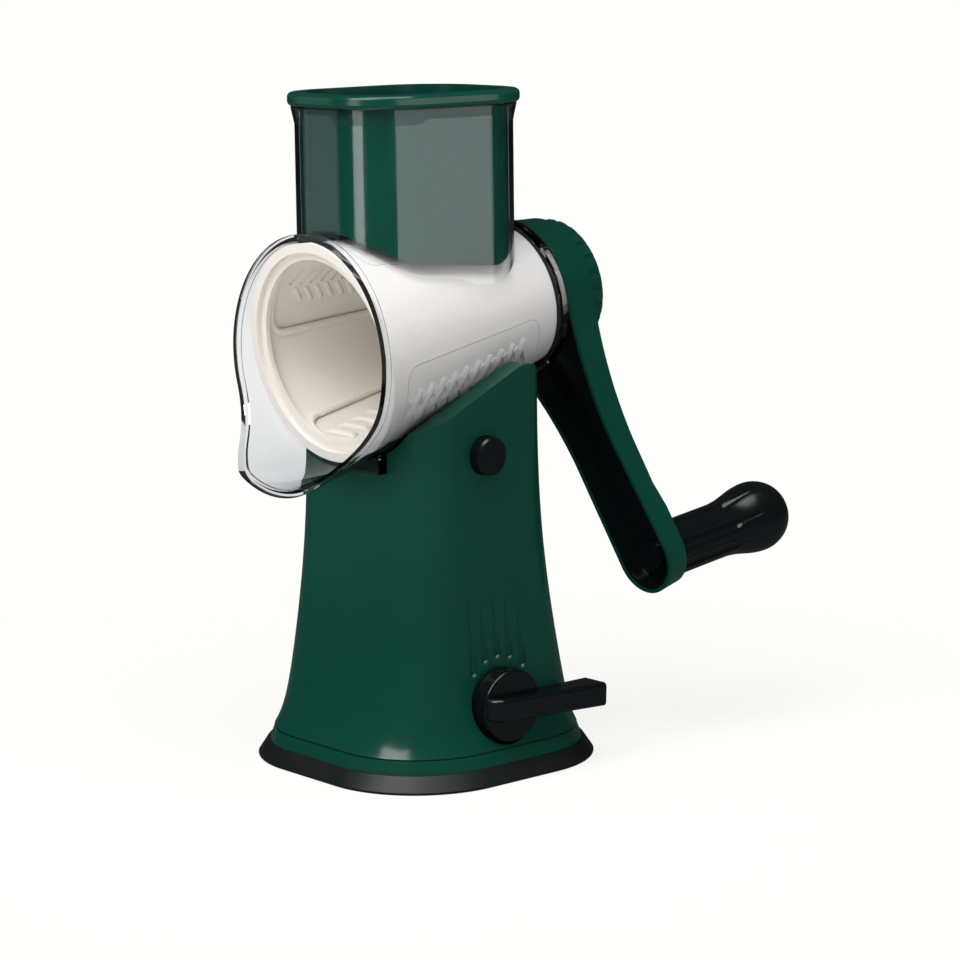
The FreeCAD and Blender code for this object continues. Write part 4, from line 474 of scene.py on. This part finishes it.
def light_path_choice(material):
    """Two sockets: 1 where the eye sees straight or through clear plastic, 1 after a mirror."""
    path = add(material, "ShaderNodeLightPath").outputs
    straight = add(material, "ShaderNodeMath", {"operation": "MAXIMUM"},
                   {0: path["Is Camera Ray"], 1: path["Is Transmission Ray"]})
    bounces = add(material, "ShaderNodeMath", {"operation": "ADD"},
                  {0: path["Glossy Depth"], 1: path["Diffuse Depth"]})
    unbounced = add(material, "ShaderNodeMath", {"operation": "LESS_THAN"},
                    {0: bounces.outputs["Value"], 1: 0.5})
    seen = add(material, "ShaderNodeMath", {"operation": "MULTIPLY"},
               {0: straight.outputs["Value"], 1: unbounced.outputs["Value"]})
    mirrored = add(material, "ShaderNodeMath", {"operation": "GREATER_THAN"},
                   {0: path["Glossy Depth"], 1: 0.5})
    return seen.outputs["Value"], mirrored.outputs["Value"]


def white_floor_material():
    """Matt white that reads as pure white far away and takes a soft shadow near the base."""
    material = new_material("white_sweep")
    seen, mirrored = light_path_choice(material)
    paint = colour_choice(material, mirrored, FLOOR_PAINT, FLOOR_MIRRORED)
    diffuse = add(material, "ShaderNodeBsdfDiffuse", Color=paint).outputs["BSDF"]
    glow = add(material, "ShaderNodeEmission", Color=WHITE, Strength=1.0).outputs["Emission"]
    away = add(material, "ShaderNodeVectorMath", {"operation": "LENGTH"}, {0: seen_at(material)})
    glow_share = add(material, "ShaderNodeMapRange", Value=away.outputs["Value"],
                     From_Min=SHADOW_REACH[0], From_Max=SHADOW_REACH[1], To_Min=NEAR_GLOW, To_Max=1.0)
    share = add(material, "ShaderNodeMath", {"operation": "MULTIPLY"},
                {0: seen, 1: glow_share.outputs["Result"]})
    blend = add(material, "ShaderNodeMixShader", None, {1: diffuse, 2: glow}, Fac=share.outputs["Value"])
    return finish_with(material, blend.outputs["Shader"])


floor_mesh = bpy.data.meshes.new("white_floor")
floor_mesh.from_pydata(
    [(-FLOOR_REACH, -FLOOR_REACH, 0), (FLOOR_REACH, -FLOOR_REACH, 0),
     (FLOOR_REACH, FLOOR_REACH, 0), (-FLOOR_REACH, FLOOR_REACH, 0)], [], [(0, 1, 2, 3)])
floor_mesh.materials.append(white_floor_material())
floor = bpy.data.objects.new("white_floor", floor_mesh)
bpy.context.scene.collection.objects.link(floor)

world = bpy.data.worlds.new("studio")
bpy.context.scene.world = world
world.use_nodes = True
world.node_tree.nodes.clear()
seen, mirrored = light_path_choice(world)
room_light = colour_choice(world, mirrored, linear("#FFFFFF"), ROOM_MIRRORED)
room = add(world, "ShaderNodeBackground", Color=room_light, Strength=ROOM_STRENGTH).outputs["Background"]
white = add(world, "ShaderNodeBackground", Color=WHITE, Strength=1.0).outputs["Background"]
sky = add(world, "ShaderNodeMixShader", None, {1: room, 2: white}, Fac=seen)
add(world, "ShaderNodeOutputWorld", Surface=sky.outputs["Shader"])
print("floor reaches", FLOOR_REACH, "m")

# %% [markdown]
# The boxes are placed by what they show on the hopper. A vertical wall seen from ten degrees
# above mirrors what stands low on the floor: a narrow bright strip for the pale line on its
# rounded corner, a wide box for the pale patch on its right side and a dim one for its left. Those
# three light only the clear housing and the pusher, as flags in a studio keep them off the rest.
# Two boxes overhead light everything.

# %% Soft boxes
def soft_box(name, turn_degrees, distance, middle, aim, width, height, power):
    """A rectangular lamp at a distance from the upright axis; its turn is measured like the camera's."""
    turn = math.radians(turn_degrees)
    place = Vector((math.sin(turn) * distance, -math.cos(turn) * distance, middle))
    data = bpy.data.lights.new(name, "AREA")
    data.shape = "RECTANGLE"
    data.size, data.size_y = width, height
    data.energy = power
    lamp = bpy.data.objects.new(name, data)
    bpy.context.scene.collection.objects.link(lamp)
    lamp.location = place
    lamp.rotation_euler = (place - Vector((0.0, 0.0, aim))).to_track_quat("Z", "Y").to_euler()
    return lamp


hopper_boxes = [
    soft_box("left_box", -52, 1.0, 0.4, 0.4, 0.5, 0.76, 0.4),
    soft_box("strip_box", 5, 1.0, 0.4, 0.4, 0.32, 0.76, 1.9),
    soft_box("right_box", 103, 1.0, 0.4, 0.4, 1.2, 0.76, 3.9),
]
hopper = bpy.data.collections.new("hopper")
for piece in ("clear_barrel", "green_pusher"):
    hopper.objects.link(bpy.data.objects[piece])
for lamp in hopper_boxes:
    lamp.light_linking.receiver_collection = hopper
soft_box("key_box", 10, 1.1, 1.3, 0.12, 1.0, 0.8, 14)
soft_box("top_box", 70, 0.5, 1.6, 0.12, 1.3, 1.1, 17)
print("five soft boxes")
